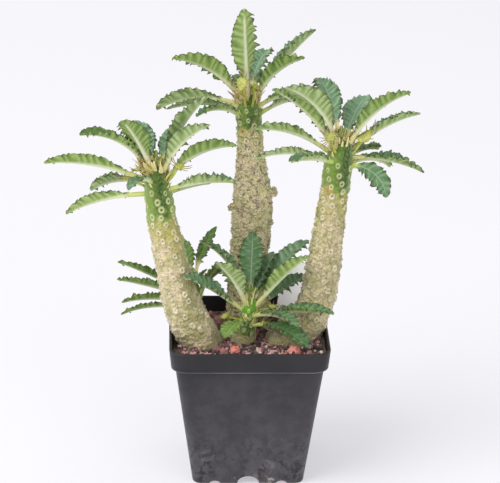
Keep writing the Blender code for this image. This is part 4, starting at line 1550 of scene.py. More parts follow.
        def place(u: Array, v: Array) -> Placed:
            """Places the knob's vertices: a ball with a crumbled skin.

            Args:
                u: Shares round the shape.
                v: Shares along it.

            Returns:
                The points and the marks.
            """
            turn, fall = FULL_TURN * u, math.pi * v
            ball = np.stack([np.cos(turn) * np.sin(fall), np.sin(turn) * np.sin(fall), np.cos(fall)], axis=1)
            seat = middle + ball * size
            fine, coarse = crumb.at(seat), lump.at(seat)
            point = middle + ball * (size * (1.0 + 0.16 * fine + 0.12 * coarse))[:, None]
            bare = ("ring", "green", "tip", "turn", "yellow", "vivid", "amber")
            return point, {
                **{label: np.zeros_like(v) for label in bare},
                # The knob's hollows are darkened: painted shade.
                "pit_and_shade": np.clip(0.30 - 0.65 * fine, 0.0, 0.9), "low": np.full_like(v, 0.3),
                "rugged": np.full_like(v, 0.8), "peach_and_light": np.clip(0.4 + 0.4 * coarse, 0.0, 0.8),
            }

        return wrapped_grid("knob", 30, 20, place)

    def build_skin(self, finishes: Finishes) -> None:
        """Builds the skin of the whole stem with its knobs, which are one growth.

        Args:
            finishes: The object's materials.
        """
        meshes = [wrapped_grid("skin", self.around, self.rows, self.skin_place)]
        meshes += [self.knob(*knob) for knob in self.knobs]
        nodes = (f"{self.name}_trunk", f"{self.name}_crown")
        finished(f"{self.name}_stem", welded(meshes), finishes.bark, Slot.BARK, nodes)

    def young_leaves(self) -> list[Leaf]:
        """Draws the small leaves that are just opening at the tip.

        Returns:
            The leaves.
        """
        rng = np.random.default_rng(self.seed + 9)
        return [
            Leaf(heading=math.degrees(i * GOLDEN_ANGLE) + 40.0, rise=84.0 - 5.0 * i, fall=74.0 - 6.0 * i,
                 length=5.0 + 1.3 * i + rng.uniform(0.0, 1.5), drop=-2.0 + 0.5 * i, half=1.7 + 0.2 * i,
                 fold=58.0, fresh=0.85 - 0.12 * i)
            for i in range(self.young)
        ]

    def build_leaves(self, finishes: Finishes) -> None:
        """Builds all the leaves as one piece.

        Args:
            finishes: The object's materials.
        """
        parts = []
        for index, leaf in enumerate([*self.leaves, *self.young_leaves()]):
            start, _, radius = self.axis(leaf.drop)
            flat, _ = heading(leaf.heading)
            roll = leaf.roll - self.side_roll * math.cos(math.radians(leaf.heading))
            turned = replace(leaf, half=leaf.half * self.leaf_width, roll=roll)
            blade = LeafBlade(turned, start + flat * radius * self.leaf_root, radius, self.seed * 100 + index)
            blade.waxy = self.waxy
            if leaf.length < self.small_leaf:
                blade.along, blade.around = 48, 20
            parts.append(blade.build())
        finished(f"{self.name}_leaves", welded(parts), finishes.leaf, Slot.LEAF, (f"{self.name}_crown",))

    def scale_seats(self, rng: np.random.Generator) -> list[tuple[float, float, float, ScaleKind]]:
        """Draws the scales' seats: at the leaves' bases, in a tuft at the tip, in a collar and in fans.

        Args:
            rng: The draw.

        Returns:
            Compass angle, drop below the top, share of the stem's radius and kind of each scale.
        """
        seats = [(leaf.heading + hand * rng.uniform(14.0, 26.0), leaf.drop, 0.92, ScaleKind.LEAF_BASE)
                 for leaf in self.leaves for hand in (-1.2, -0.6, 0.0, 0.5, 1.1)]
        seats += [(rng.uniform(0.0, 360.0), rng.uniform(-2.5, 3.0), rng.uniform(0.2, 0.9), ScaleKind.TUFT)
                  for _ in range(self.top_scales)]
        seats += [(360.0 * (i + rng.uniform()) / self.collar, rng.uniform(-0.5, 5.0), 0.98, ScaleKind.COLLAR)
                  for i in range(self.collar)]
        seats += [(compass + rng.uniform(-22.0, 22.0), rng.uniform(-3.0, 2.0), 0.9, ScaleKind.FAN)
                  for compass in self.fan for _ in range(self.fan_scales)]
        return seats

    def build_scales(self, finishes: Finishes) -> None:
        """Builds all the papery scales as one piece, none of them on the bare stripe.

        Args:
            finishes: The object's materials.
        """
        rng = np.random.default_rng(self.seed + 3)
        parts = []
        for compass, drop, out, kind in self.scale_seats(rng):
            if abs(degrees_apart(compass, self.shade_stripe)) < self.bare_stripe and drop > 0.8:
                continue
            lean, longer, wider, power = kind.value
            start, axis, radius = self.axis(drop)
            flat, level = heading(compass)
            root = np.array(start + flat * (radius * out) + axis * rng.uniform(0.0, 1.5))
            aim = np.array((flat * rng.uniform(0.2, lean) * out + axis).normalized())
            side = np.array(level)
            normal = np.cross(aim, side)
            length = rng.uniform(4.0, 9.5) * self.top_length * longer
            half = rng.uniform(0.8, 1.7) * self.top_length * wider
            tint, curl = rng.uniform(0.0, 1.0) ** power, rng.uniform(-0.5, 0.9)

            def place(u: Array, v: Array) -> Placed:
                """Places the scale's vertices: a thin pointed lens that curls outwards.

                Args:
                    u: Shares round the shape.
                    v: Shares along it.

                Returns:
                    The points and the marks.
                """
                angle = FULL_TURN * u
                wide = half * np.sqrt(np.clip(1.0 - v, 0.0, 1.0)) * (v > 0.0)
                thin = 0.14 * (1.0 - 0.7 * v) * between(v)
                bow = curl * v ** 2 - 0.3 * (np.cos(angle) ** 2) * wide
                point = root + aim * (length * v)[:, None] + side * (wide * np.cos(angle))[:, None]
                point = point + normal * (thin * np.sin(angle) + bow)[:, None]
                return point, {"tint": np.full_like(v, tint)}

            parts.append(wrapped_grid("scale", 8, 6, place))
        finished(f"{self.name}_scales", welded(parts), finishes.paper, Slot.LEAF)

    def build(self, finishes: Finishes) -> None:
        """Builds the stem with everything that grows on it.

        Args:
            finishes: The object's materials.
        """
        self.build_skin(finishes)
        self.build_leaves(finishes)
        self.build_scales(finishes)
        for number, bloom in enumerate(self.blooms, 1):
            base, _, radius = self.axis(bloom.drop)
            head = FlowerHead(bloom, base, radius, self.seed + 20 * number)
            name = f"{self.name}_bloom_{number}"
            head.build(f"{name}_head", finishes, name)


def left_stem() -> Stem:
    """Sets out the left stem.

    Returns:
        The stem, ready to build.
    """
    return Stem(
        "left",
        ((-29.5, -12, 78, 11.8), (-29.5, -12, 86, 13.2), (-32.4, -12, 93, 12.9),
         (-37.3, -12, 102, 12.3), (-42, -12, 113, 11.5), (-46.6, -12, 132, 10.1),
         (-50.9, -12, 152, 9.4), (-54.7, -12, 170, 8.8), (-57.2, -12, 188, 8.1),
         (-58.5, -12, 201, 6.4)),
        168,
        (Leaf(178, 26, -5, 67.4, 8, 7.5, 48, 8), Leaf(-152, 67, 3, 62, 4, 8.5, 40, -15, 0.1, 0),
         Leaf(-122, 60, 42, 56, 2, 7.8, 40, 6, 0, 0.05), Leaf(109, 47, 15, 41, 1, 6.8, 28, 0, 0, 1.6),
         Leaf(71, 34, 18, 42, 2, 6.2, 35, 0, 0, 1.5), Leaf(5, 76, 45, 57, 4, 8.5, 48, -8),
         Leaf(-25, 72, 29, 52, 6, 8.5, 45, -4, 0, 0.9), Leaf(-6, 59, 3, 55, 10, 8, 50, -8, 0, 0.1),
         Leaf(-19, 24, 2, 48, 13, 9, 45, 5, 0, 0.8), Leaf(48, -2, -9, 45, 16, 6, 45),
         Leaf(147, 2, -35, 48, 8, 7, 44, 0, 0, 1.3), Leaf(171, -2, -31, 57, 15, 7, 48, 7),
         Leaf(-124, 66, -35, 32, 12, 5, 40, 0, 0, 1)),
        (Bloom(-24, 60, 7.3, 13.5, 4, 62, -20), Bloom(158, 52, 5.3, 6, 4.6, 50),
         Bloom(169, 21, 10.9, 11.4, 3.4, 80)),
        shade_stripe=286.0, scars_end=11.0, fan=(200, 222), blemishes=((145, 240, 1.1),),
        peach_and_light=((152, 232, 9), (138, 240, 9), (124, 262, 5)),
    )


def centre_stem() -> Stem:
    """Sets out the tall stem in the middle, with its old flower-stalk stubs and two knobs.

    Returns:
        The stem, ready to build.
    """
    return Stem(
        "centre",
        ((1, 31, 78, 11.5), (1, 31, 88, 13.2), (0.9, 31, 110, 12.4), (1.1, 31, 128, 11.7),
         (2, 31, 150, 11.8), (2.6, 31, 166, 11.8), (2.2, 31, 180, 10.2), (1.4, 31, 192, 8.5),
         (0.7, 31, 206, 7.2), (-0.3, 30.5, 224, 7.8), (-1, 30, 234, 6.4)),
        214,
        (Leaf(-100, 70, 79, 65.6, 1, 8, 28, 32, 0, 0.45), Leaf(-154, 58, 13, 62, 3, 9, 42, 16, 0, 0.25),
         Leaf(163, 19, -34, 59, 5, 8.5, 45, 6), Leaf(-166, 19, -11, 50, 6, 6, 42),
         Leaf(-151, 50, -25, 38, 14, 7, 35), Leaf(23, 50, 36, 59, 1, 9.8, 48, -4, 0, 0.9),
         Leaf(-19, 71, 22, 49, 5, 8, 48, -6, 0, 0), Leaf(68, 76, -7, 45, 2, 7, 38, 0, 0, 1),
         Leaf(84, 29, 1, 42.4, 4, 7.5, 35), Leaf(100, 25, 11, 30, 3, 6, 35),
         Leaf(4, 42, -12, 45, 13, 7, 45), Leaf(-6, 48, -20, 40, 8, 6.5, 45)),
        (Bloom(-106, 67, 3.4, 18.6, 5.6, 18, -40), Bloom(-70, 80, 3.4, 15.5, 3.6, 20, 60)),
        ((172.5, -8, 2), (162, 188, 1.6), (181, 205, 1.4), (152, 10, 1.2), (166, 250, 1)),
        ((173, -8, 2.7, 2.3), (162.5, 188, 2.5, 1.4)),
        warts=0.95, scar_size=0.95, around=124, tip_shade=0.72, shade_stripe=278.0, fan=(235,),
        blemishes=((215, 233, 2.2),),
        peach_and_light=((192, 240, 10), (177, 228, 9), (185, 275, 7), (160, 240, 8),
               (143, 305, 7), (170, 285, 6), (150, 255, 6), (204, 282, 5),
               (202, 242, 4)),
    )


def right_stem() -> Stem:
    """Sets out the right stem.

    Returns:
        The stem, ready to build.
    """
    return Stem(
        "right",
        ((24.5, -6.5, 78, 14), (26, -6.5, 85, 15.8), (30.5, -5.5, 91, 14.4), (36.8, -3.5, 98, 12.1),
         (41, -3, 108, 11), (43.8, -3, 117, 10.9), (46.4, -3, 135, 10.5), (48.6, -3, 154, 9.4),
         (50.4, -3, 170, 8.7), (52.7, -3, 188, 8.4), (54.3, -3, 202, 8.6), (56, -3, 215, 6.8)),
        186,
        (Leaf(-139, 70, 22, 68, 2, 9.5, 32, 8), Leaf(-159, 62, 30, 63, 5, 8, 40),
         Leaf(170, 41, -9, 54, 8, 6.5, 48, 8), Leaf(-162, 31, -13, 53, 12, 5.5, 48, 5),
         Leaf(-129, 24, 6, 48, 11, 8, 40), Leaf(105, 68, -2, 58, 2, 7, 38, 0, 0, 1),
         Leaf(68, 45, 2, 51, 3, 8, 32, 0, 0, 1.4), Leaf(-15, 68, 25, 58, 5, 9, 42, -5, 0, 0),
         Leaf(12, 45, 10, 54, 8, 7.2, 50, 10, 0, 0.7), Leaf(7, 2, -29, 52, 8, 8.5, 42, 16, 0, 0.6),
         Leaf(48, 12, -20, 37, 10, 7.5, 40),
         Leaf(-27, 38, -86, 39, 16, 5.5, 26, 70, 0, 0.6), Leaf(38, 15, -38, 43, 15, 6.5, 45)),
        (Bloom(-121, 62, 3.4, 13, 4.4, 50, -30), Bloom(-8, 60, 5.8, 13, 6.4, 58, -131)),
        warts=0.62, around=120, scars_end=11.0, bare_stripe=52.0, yellow=0.7, blemishes=((187, 240, 2.4),),
        peach_and_light=((178, 238, 4), (164, 262, 7), (152, 296, 6), (138, 240, 7)),
    )


OFFSET: dict[str, Any] = {"bare_stripe": 0, "top_scales": 14, "collar": 6, "dome": 2.8, "turn_height": 0.5}


def front_offset() -> Stem:
    """Sets out the young offset at the front.

    Returns:
        The stem, ready to build.
    """
    return Stem(
        "front_offset",
        ((-3.5, -10, 78, 7.4), (-3.5, -10, 88, 7.8), (-2.2, -10, 92, 6.8), (-0.5, -9.5, 97, 4.8),
         (0, -9, 104, 4.9), (0.2, -9, 109, 5.6), (0.5, -9, 114, 4.6)),
        93,
        (Leaf(84, 65, 84, 44, 2, 7.5, 32, 0, 0, 0.55), Leaf(-130, 62, 42, 48, 4, 8.5, 42, 0, 0, 0.8),
         Leaf(-159, 41, 29, 51, 7, 8, 38, -36, 0, 0.9), Leaf(145, 75, 10, 51, 1, 6.5, 40, 0, 0, 0.7),
         Leaf(-19, 54, 43, 54, 6, 8.5, 45, 0, 0, 0.3), Leaf(30, 56, 27, 55, 4, 8, 38, 26, 0, 1),
         Leaf(26, 25, 21, 41, 6, 8, 40, 24, 0, 1), Leaf(44, 64, 52, 37, 5, 7.5, 38, 0, 0, 0.9),
         Leaf(-48, 30, -14, 43, 10, 7.5, 38), Leaf(-24, 19, 0, 55, 9, 7, 48, 14),
         Leaf(-41, 26, -34, 47, 16, 7.5, 30, 14, 0, 0.3), Leaf(-123, 18, -28, 28, 12, 7.2, 22, -6, 0.22, 0)),
        (Bloom(-34, 12, 14.9, 6.5, 3.6, 50), Bloom(-4, 13, 6.2, 8.9, 3.4, 80),
         Bloom(-160, 20, 12, 10, 3, 60)),
        tip_shade=0.85, shade_stripe=285.0, vivid=1.0, peach_and_light=((86, 240, 4.5),), top_length=0.75, scar_size=0.7,
        around=64, scars_from=92.0, **OFFSET,
    )


def back_offset() -> Stem:
    """Sets out the young offset at the back left.

    Returns:
        The stem, ready to build.
    """
    return Stem(
        "back_offset",
        ((-31, 25, 78, 6.6), (-31, 25, 88, 6.6), (-31.5, 25, 93, 5.4), (-32.5, 25, 98, 4.3),
         (-34, 25, 106, 3.9), (-35, 25, 112, 3.4)),
        91.5,
        (Leaf(172, 24, 19, 51, 6, 6.5, 45, 0, 0, 0.35), Leaf(-167, 20, 15, 51, 8, 6.5, 45, 3, 0, 1),
         Leaf(-174, 14, -10, 46, 12, 6, 45, 3, 0, 0.4), Leaf(177, 12, -24, 48, 17, 4.5, 45, 5, 0, 0.6),
         Leaf(20, 88, 50, 41, 1, 3.3, 34, 72, 0), Leaf(99, 36, 8, 46, 2, 5, 38, 0, 0.03),
         Leaf(-10, 76, 45, 32, 12, 6, 40, 20, 0.03), Leaf(28, 55, 10, 28, 8, 6, 40, 0, 0.03)),
        waxy=0.0, tip_shade=0.1, top_length=0.6, scar_size=0.6, around=56, scars_from=90.0, **OFFSET,
    )


# Pot and what lies in it


@dataclass
class Pot:
    """A square, tapered nursery pot with a banded rim, a raised floor with drain holes and an arched foot."""

    height: float = 94.5
    rim_half: float = 50.0
    band_bottom: float = 81.4
    band_half: float = 48.8
    band_step: float = 2.5
    body_top_half: float = 46.2
    base_half: float = 35.0
    rim_corner: float = 10.5
    base_corner: float = 6.0
    wall: float = 1.4
    floor_under: float = 6.2
    corner_steps: int = 10
    edge_steps: int = 4
    rim_edge: float = 0.7
    band_edge: float = 0.6
    foot_edge: float = 0.8
    pad_radius: float = 9.0
    drain_radius: float = 4.0
    drain_offset: float = 18.0
    arch_half: float = 7.0
    arch_height: float = 5.5
    side_arch_half: float = 3.5
    side_arch_height: float = 2.2
    side_arch_offset: float = 21.0
    arch_inner: float = 24.0
    round_steps: int = 28

    def body_half(self, height: float) -> float:
        """Returns the tapered body's outer half-width at a height."""
        return self.base_half + (self.body_top_half - self.base_half) * height / self.band_bottom

    def body_corner(self, height: float) -> float:
        """Returns the body's outer corner radius at a height."""
        return self.base_corner + (self.rim_corner - 2.0 - self.base_corner) * height / self.band_bottom

    def edge(
        self, half: float, corner: float, height: float, radius: float, start: float, end: float,
    ) -> list[Triple]:
        """Returns the rows of a rounded edge.

        Args:
            half: Half-width at the centre of the rounding.
            corner: Corner radius there.
            height: Height of the centre of the rounding.
            radius: Radius of the rounding.
            start: First angle in degrees, 0 facing out and 90 up.
            end: Last angle.

        Returns:
            Half-width, corner radius and height of each row.
        """
        rows = []
        for step in range(self.edge_steps + 1):
            angle = math.radians(start + (end - start) * step / self.edge_steps)
            out = radius * math.cos(angle)
            rows.append((half + out, corner + out, height + radius * math.sin(angle)))
        return rows

    def rows(self) -> list[Triple]:
        """Draws the shell from the middle of its floor, over the rim and down to its underside.

        Returns:
            Half-width, corner radius and height of each row.
        """
        floor_top = self.floor_under + self.wall
        band_at, wall, corner = self.band_bottom, self.wall, self.rim_corner
        low, high = band_at - self.band_step / 2.0, band_at + self.band_step / 2.0
        rim, band, foot = self.rim_edge, self.band_edge, self.foot_edge
        return [
            (0.0, 0.0, floor_top),
            (self.body_half(floor_top) - wall, self.body_corner(floor_top) - wall, floor_top),
            (self.body_half(low) - wall, self.body_corner(low) - wall, low),
            (self.band_half - wall, corner - wall, high),
            (self.rim_half - 0.3 - wall, corner - wall, self.height - rim),
            *self.edge(self.rim_half + 0.2 - wall, corner - 1.0, self.height - 0.5, 0.5, 170.0, 90.0),
            *self.edge(self.rim_half - rim, corner - rim, self.height - rim, rim, 90.0, 0.0),
            *self.edge(self.band_half - band, corner - band, band_at + band, band, 0.0, -90.0),
            (self.body_half(band_at) + 0.4, self.body_corner(band_at), band_at - 0.1),
            (self.body_half(band_at), self.body_corner(band_at), band_at - 0.5),
            (self.body_half(foot), self.base_corner, foot),
            *self.edge(self.base_half - foot, self.base_corner - foot, foot, foot, -15.0, -90.0),
            (self.base_half - wall, self.base_corner - wall, 0.0),
            (self.body_half(self.floor_under) - wall, self.base_corner - wall, self.floor_under),
            (0.0, 0.0, self.floor_under),
        ]

    def shell_place(self, u: Array, v: Array) -> Placed:
        """Places the shell's vertices on rounded squares.

        Args:
            u: Shares round the shape.
            v: Shares along it.

        Returns:
            The points, and no marks.
        """
        rows = np.array(self.rows())
        row = rows[np.rint(v * (len(rows) - 1)).astype(int)]
        sides = self.corner_steps + 1
        index = np.rint(u * 4 * sides).astype(int) % (4 * sides)
        quarter, step = index // sides, index % sides
        sign_x = np.array((1.0, -1.0, -1.0, 1.0))[quarter]
        sign_y = np.array((1.0, 1.0, -1.0, -1.0))[quarter]
        angle = 0.5 * math.pi * (quarter + step / self.corner_steps)
        x = sign_x * (row[:, 0] - row[:, 1]) + row[:, 1] * np.cos(angle)
        y = sign_y * (row[:, 0] - row[:, 1]) + row[:, 1] * np.sin(angle)
        return np.stack([x, y, row[:, 2]], axis=1), {}

    def cylinder(
        self, radius: float, low: Vector, high: Vector, squash: float = 1.0, top: float = 0.0,
    ) -> Object:
        """Makes a scratch cylinder or cone.

        Args:
            radius: Its radius.
            low: Middle of its first end.
            high: Middle of its other end.
            squash: Its height over its width, where it lies flat.
            top: Its radius at the other end, if that is another one.

        Returns:
            The object.
        """
        bm = bmesh.new()
        bmesh.ops.create_cone(bm, cap_ends=True, segments=self.round_steps, radius1=radius,
                              radius2=top or radius, depth=(high - low).length)
        turn = (high - low).to_track_quat("Z", "Y").to_matrix().to_4x4()
        place = Matrix.Diagonal((1.0, 1.0, squash, 1.0)) @ Matrix.Translation((low + high) / 2.0) @ turn
        bmesh.ops.transform(bm, matrix=place, verts=bm.verts)
        return bpy.data.objects.new("cutter", to_mesh("cutter", to_metres(bm)))

    def build(self, finishes: Finishes) -> None:
        """Builds the pot.

        Args:
            finishes: The object's materials.
        """
        mesh = wrapped_grid("shell", 4 * (self.corner_steps + 1), len(self.rows()) - 1, self.shell_place)
        shell = linked("shell", to_mesh("shell", welded([mesh])))
        pad_top = Vector((0.0, 0.0, self.floor_under + self.wall / 2.0))
        pad = self.cylinder(self.pad_radius, Vector((0.0, 0.0, 0.0)), pad_top, top=self.pad_radius + 0.6)
        shell = linked("shell", to_mesh("shell", combined(shell, "UNION", [pad])))
        cutters = []
        for sx in (-1, 1):
            for sy in (-1, 1):
                x, y = sx * self.drain_offset, sy * self.drain_offset
                low, high = self.floor_under - 1.0, self.floor_under + self.wall + 1.0
                cutters.append(self.cylinder(self.drain_radius, Vector((x, y, low)), Vector((x, y, high))))
        arches = [(0.0, self.arch_half, self.arch_height)]
        arches += [(offset, self.side_arch_half, self.side_arch_height)
                   for offset in (-self.side_arch_offset, self.side_arch_offset)]
        for turn in range(4):
            out, left = heading(90.0 * turn)
            for offset, half, height in arches:
                start, end = out * self.arch_inner + left * offset, out * self.base_half * 1.2 + left * offset
                cutters.append(self.cylinder(half, start, end, squash=height / half))
        bm = combined(shell, "DIFFERENCE", cutters)
        finished("pot_shell", bm, finishes.pot, Slot.POT, ("pot",), sharp=32.0)


@dataclass
class Gravel:
    """Coarse lava gravel that covers the soil: angular stones in several colours.

    A stone's tint picks its tone. Behind shade_from the pale ones are turned dark as painted shade under the
    plant, and past lit_rosy_from, at the left front, most of them rosy as painted light.
    """

    count: int = 1450
    half: float = 46.4
    corner: float = 7.0
    level: float = 87.0
    back_fall: float = 3.0
    right_heap: float = 2.0
    heap_from: float = 34.0
    heap_run: float = 12.0
    smallest: float = 1.0
    largest: float = 2.8
    keep_clear: float = 0.4
    cuts: int = 9
    shade_from: float = -8.0
    lit_rosy_from: float = 30.0
    lit_rosy_share: float = 0.6
    seed: int = 17

    def ground(self, x: Array, y: Array) -> Array:
        """Returns the height of the gravel: heaped at the right wall, lower towards the back."""
        heap = self.right_heap * np.clip((x - self.heap_from) / self.heap_run, 0.0, 1.0)
        return self.level + heap - self.back_fall * np.clip(y / 46.2, 0.0, 1.0)

    def seats(self, rng: np.random.Generator, taken: list[Triple]) -> Array:
        """Draws the stones' places and sizes, clear of the stems and of the pot's wall.

        Args:
            rng: The draw.
            taken: Centre and radius of each thing that stands in the gravel.

        Returns:
            Place, height and radius of each stone.
        """
        found = []
        while len(found) < self.count:
            x, y = rng.uniform(-self.half, self.half, 2)
            radius = self.smallest + (self.largest - self.smallest) * rng.uniform() ** 1.8
            room = self.half - radius
            beyond = math.hypot(max(0.0, abs(x) - room + self.corner), max(0.0, abs(y) - room + self.corner))
            if beyond > self.corner or max(abs(x), abs(y)) > room:
                continue
            if any(math.hypot(x - a, y - b) < r + radius * self.keep_clear for a, b, r in taken):
                continue
            found.append((x, y, radius, rng.uniform(-0.5, 0.75)))
        seats = np.array(found)
        lift = self.ground(seats[:, 0], seats[:, 1]) + seats[:, 3] * seats[:, 2] * 0.8 + 0.2
        return np.stack([seats[:, 0], seats[:, 1], lift, seats[:, 2]], axis=1)

    def broken(self, rng: np.random.Generator, stones: Array) -> Array:
        """Breaks balls into angular stones and turns each.

        Args:
            rng: The draw.
            stones: Points of each ball, of radius 1 round the origin.

        Returns:
            Points of each stone.
        """
        for _ in range(self.cuts):
            cut = unit(rng.normal(size=(self.count, 1, 3)))
            past = (stones * cut).sum(axis=2) - rng.uniform(0.45, 0.85, (self.count, 1))
            stones = stones - cut * np.clip(past, 0.0, None)[:, :, None]
        stones = stones * rng.uniform(0.65, 1.15, (self.count, 1, 3))
        stones *= 1.0 + rng.uniform(-0.05, 0.05, (self.count, stones.shape[1], 1))
        turn = rng.uniform(0.0, FULL_TURN, self.count)
        cos, sin = np.cos(turn)[:, None], np.sin(turn)[:, None]
        x, y, z = np.moveaxis(stones, 2, 0)
        return np.stack([x * cos - y * sin, x * sin + y * cos, z], axis=2)

    def tints(self, rng: np.random.Generator, seats: Array) -> Array:
        """Draws the stones' tints.

        Args:
            rng: The draw.
            seats: Place, height and radius of each stone.

        Returns:
            The tint of each.
        """
        tones = len(GRAVEL_TONES)
        pale = [index for index, tone in enumerate(GRAVEL_TONES) if tone in (ROSE, BEIGE)]
        tint = rng.uniform(0.0, 1.0, self.count)
        # Painted shade: pale stones behind the stems are turned dark.
        shaded = (seats[:, 1] > self.shade_from) & np.isin(np.floor(tint * tones), pale)
        tint = np.where(shaded, tint + 1.0 / tones, tint)
        # Painted light: most stones at the left front are turned pale rose.
        left_front = (seats[:, 0] < -self.lit_rosy_from) & (seats[:, 1] < -self.lit_rosy_from)
        lit_rosy = left_front & (rng.uniform(size=self.count) < self.lit_rosy_share)
        return np.where(lit_rosy, 0.5 / tones, tint)

    def build(self, finishes: Finishes, taken: list[Triple]) -> None:
        """Builds all the stones as one piece.

        Args:
            finishes: The object's materials.
            taken: Centre and radius of each thing that stands in the gravel.
        """
        rng = np.random.default_rng(self.seed)
        seats = self.seats(rng, taken)
        bm = bmesh.new()
        bmesh.ops.create_uvsphere(bm, u_segments=8, v_segments=5, radius=1.0)
        stone = bpy.data.meshes.new("stone")
        bm.to_mesh(stone)
        # Known fault: the second stone fills gaps that the first one's making leaves in this bmesh, so these
        # two have their points mixed. 34 long thin faces run from one to the other through the rest.
        for _ in range(self.count - 1):
            bm.from_mesh(stone)
        mesh = to_mesh("gravel", bm)
        bpy.data.meshes.remove(stone)
        stones = self.broken(rng, points_of(mesh).reshape(self.count, -1, 3))
        stones = stones * seats[:, None, 3:] + seats[:, None, :3]
        mesh.vertices.foreach_set("co", (stones * MM).ravel())
        add_marks(mesh, {"tint": np.repeat(self.tints(rng, seats), stones.shape[1])})
        finished("gravel_top", welded([mesh]), finishes.gravel, Slot.SOIL, sharp=28.0)


@dataclass
class Chip:
    """A larger loose piece of lava: the solid's own block, broken up finer."""

    node: str
    slot: Slot
    seed: int
    bite: float = 0.46
    wear: float = 0.25
    deepest: float = 0.9
    cuts: int = 5

    def build(self, finish: Material) -> None:
        """Builds the chip from a merged copy of its solid.

        Args:
            finish: Its material.
        """
        bm = bmesh.new()
        bm.from_mesh(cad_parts[self.node].data)
        bmesh.ops.remove_doubles(bm, verts=bm.verts, dist=WELD * 10.0)
        bmesh.ops.subdivide_edges(bm, edges=bm.edges[:], cuts=self.cuts, use_grid_fill=True)
        bmesh.ops.smooth_vert(bm, verts=bm.verts, factor=0.5, use_axis_x=True, use_axis_y=True,
                              use_axis_z=True)
        bm.normal_update()
        points = np.array([vert.co for vert in bm.verts]) / MM
        broken = Ripple(self.seed, 3.0).at(points) + Ripple(self.seed + 1, 1.2).at(points)
        depth = np.clip(0.5 * self.bite * broken + self.wear, 0.0, self.deepest)
        for vert, bite in zip(bm.verts, depth):
            vert.co -= vert.normal * float(bite) * MM
        finished(f"{self.node}_lava", bm, finish, self.slot, (self.node,), sharp=50.0)


@dataclass
class PlantLabel:
    """A thin white stake that narrows to a point in the soil."""

    width: float = 17.0
    thickness: float = 0.8
    top: float = 122.0
    foot: float = 74.0
    point_length: float = 12.0
    corner: float = 3.0
    place: tuple[float, float] = (26.0, 41.5)
    lean: float = 8.0
    corner_steps: int = 8
    edge: float = 0.14

    def build(self, finishes: Finishes) -> None:
        """Builds the label.

        Args:
            finishes: The object's materials.
        """
        half = self.width / 2.0
        side = [(half, self.foot + self.point_length)]
        for step in range(self.corner_steps + 1):
            angle = 0.5 * math.pi * step / self.corner_steps
            side.append((half - self.corner + self.corner * math.cos(angle),
                         self.top - self.corner + self.corner * math.sin(angle)))
        outline = [(0.0, self.foot), *side, *[(-x, z) for x, z in reversed(side)]]
        bm = bmesh.new()
        front = bm.faces.new([bm.verts.new((x, -self.thickness / 2.0, z)) for x, z in outline])
        grown = bmesh.ops.extrude_face_region(bm, geom=[front])
        back = [item for item in grown["geom"] if isinstance(item, BMVert)]
        bmesh.ops.translate(bm, vec=(0.0, self.thickness, 0.0), verts=back)
        bmesh.ops.recalc_face_normals(bm, faces=bm.faces)
        rims = [edge for edge in bm.edges if edge.calc_face_angle(0.0) > 1.2]
        bmesh.ops.bevel(bm, geom=rims, offset=self.edge, offset_type="OFFSET", segments=2, profile=0.5,
                        affect="EDGES", material=-1)
        pivot = Vector((0.0, 0.0, self.foot))
        lean = Matrix.Rotation(math.radians(self.lean), 4, "Y")
        spot = Matrix.Translation(Vector((*self.place, 0.0)) + pivot)
        bmesh.ops.transform(bm, matrix=spot @ lean @ Matrix.Translation(-pivot), verts=bm.verts)
        finished("label_stake", to_metres(bm), finishes.label, Slot.LABEL, ("plant_label",), sharp=40.0)


# Studio


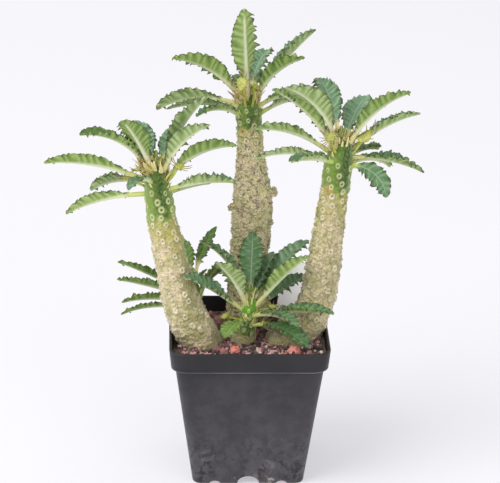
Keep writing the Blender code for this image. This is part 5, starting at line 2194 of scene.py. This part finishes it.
@dataclass
class Studio:
    """A pale floor, soft light from the front left, and the camera."""

    distance: float = 1.587
    elevation: float = 20.3
    azimuth: float = -2.0
    roll: float = 0.77
    target: tuple[float, float, float] = (0.0004, 0.0, 0.1503)
    lens: float = 182.88
    sensor: float = 36.0
    floor_radius: float = 6.0
    floor_colour: Colour = (0.455, 0.450, 0.463)
    floor_shade: Colour = (0.400, 0.400, 0.430)
    floor_glow: float = 0.455
    world_colour: Colour = (0.970, 0.965, 1.000)
    world_strength: float = 0.66

    def build_camera(self) -> None:
        """Sets up the camera."""
        tilt, turn, roll = (math.radians(v) for v in (self.elevation, self.azimuth, self.roll))
        back = Vector((math.sin(turn) * math.cos(tilt), -math.cos(turn) * math.cos(tilt), math.sin(tilt)))
        level = Vector((math.cos(turn), math.sin(turn), 0.0))
        upright = back.cross(level)
        right = level * math.cos(roll) + upright * math.sin(roll)
        up = upright * math.cos(roll) - level * math.sin(roll)
        camera = linked("camera", bpy.data.cameras.new("camera"))
        camera.data.lens = self.lens
        camera.data.sensor_width = self.sensor
        camera.data.sensor_fit = "HORIZONTAL"
        camera.data.clip_end = 30.0
        place = Matrix((right, up, back)).transposed().to_4x4()
        place.translation = Vector(self.target) + back * self.distance
        camera.matrix_world = place
        bpy.context.scene.camera = camera

    def build_floor(self) -> None:
        """Builds the floor as a wide disc with a faint tone of its own."""
        bm = bmesh.new()
        bmesh.ops.create_circle(bm, cap_ends=True, segments=96, radius=self.floor_radius)
        mesh = to_mesh("floor", bm)
        paint = Paint("floor", Roughness=0.75, Emission_Strength=self.floor_glow,
                      Emission_Color=self.world_colour)
        soft = paint.noise(1.5, 2.0).spread(0.3, 0.7, 0.0, 0.03)
        paint.shade(Base_Color=paint.mix(soft, self.floor_colour, self.floor_shade))
        mesh.materials.append(paint.material)
        linked("floor", mesh)

    def build_light(self, name: str, place: Vector, size: float, power: float, colour: Colour) -> None:
        """Adds a soft area light that looks at the object.

        Args:
            name: Name of the light.
            place: Where it hangs, in metres.
            size: Its width in metres.
            power: Its power in watts.
            colour: Its colour.
        """
        light = bpy.data.lights.new(name, "AREA")
        light.shape = "DISK"
        light.size = size
        light.energy = power
        light.color = colour
        lamp = linked(name, light)
        aim = Vector(self.target) - place
        lamp.matrix_world = Matrix.Translation(place) @ aim.to_track_quat("-Z", "Y").to_matrix().to_4x4()

    def build(self) -> None:
        """Builds the studio."""
        scene = bpy.context.scene
        scene.view_settings.view_transform = "Standard"
        world = bpy.data.worlds.new("studio")
        world.use_nodes = True
        sky = world.node_tree.nodes["Background"]
        sky.inputs["Color"].default_value = (*self.world_colour, 1.0)
        sky.inputs["Strength"].default_value = self.world_strength
        scene.world = world
        self.build_camera()
        self.build_floor()
        self.build_light("key", Vector((-2.5, -1.5, 3.0)), 3.6, 135.0, (1.0, 0.99, 0.97))
        self.build_light("fill", Vector((1.5, -2.6, 1.0)), 2.4, 26.0, (1.0, 0.99, 0.99))


def main() -> None:
    """Builds the studio and every piece."""
    logging.basicConfig(level=logging.INFO, format="%(name)s %(message)s")
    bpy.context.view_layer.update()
    Studio().build()
    finishes = Finishes()
    Pot().build(finishes)
    PlantLabel().build(finishes)
    stems = [left_stem(), centre_stem(), right_stem(), front_offset(), back_offset()]
    for stem in stems:
        stem.build(finishes)
    taken = [(stem.route[1][0], stem.route[1][1], stem.route[1][3]) for stem in stems]
    Gravel().build(finishes, taken)
    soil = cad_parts["soil"]
    for index in range(len(soil.material_slots)):
        soil.material_slots[index].material = finishes.compost
    Chip("red_chip_front", Slot.RED_LAVA, 3).build(finishes.red_lava)
    Chip("red_chip_right", Slot.RED_LAVA, 4).build(finishes.red_lava)
    Chip("dark_stone", Slot.DARK_LAVA, 5).build(finishes.dark_lava)


if __name__ == "__main__":
    main()
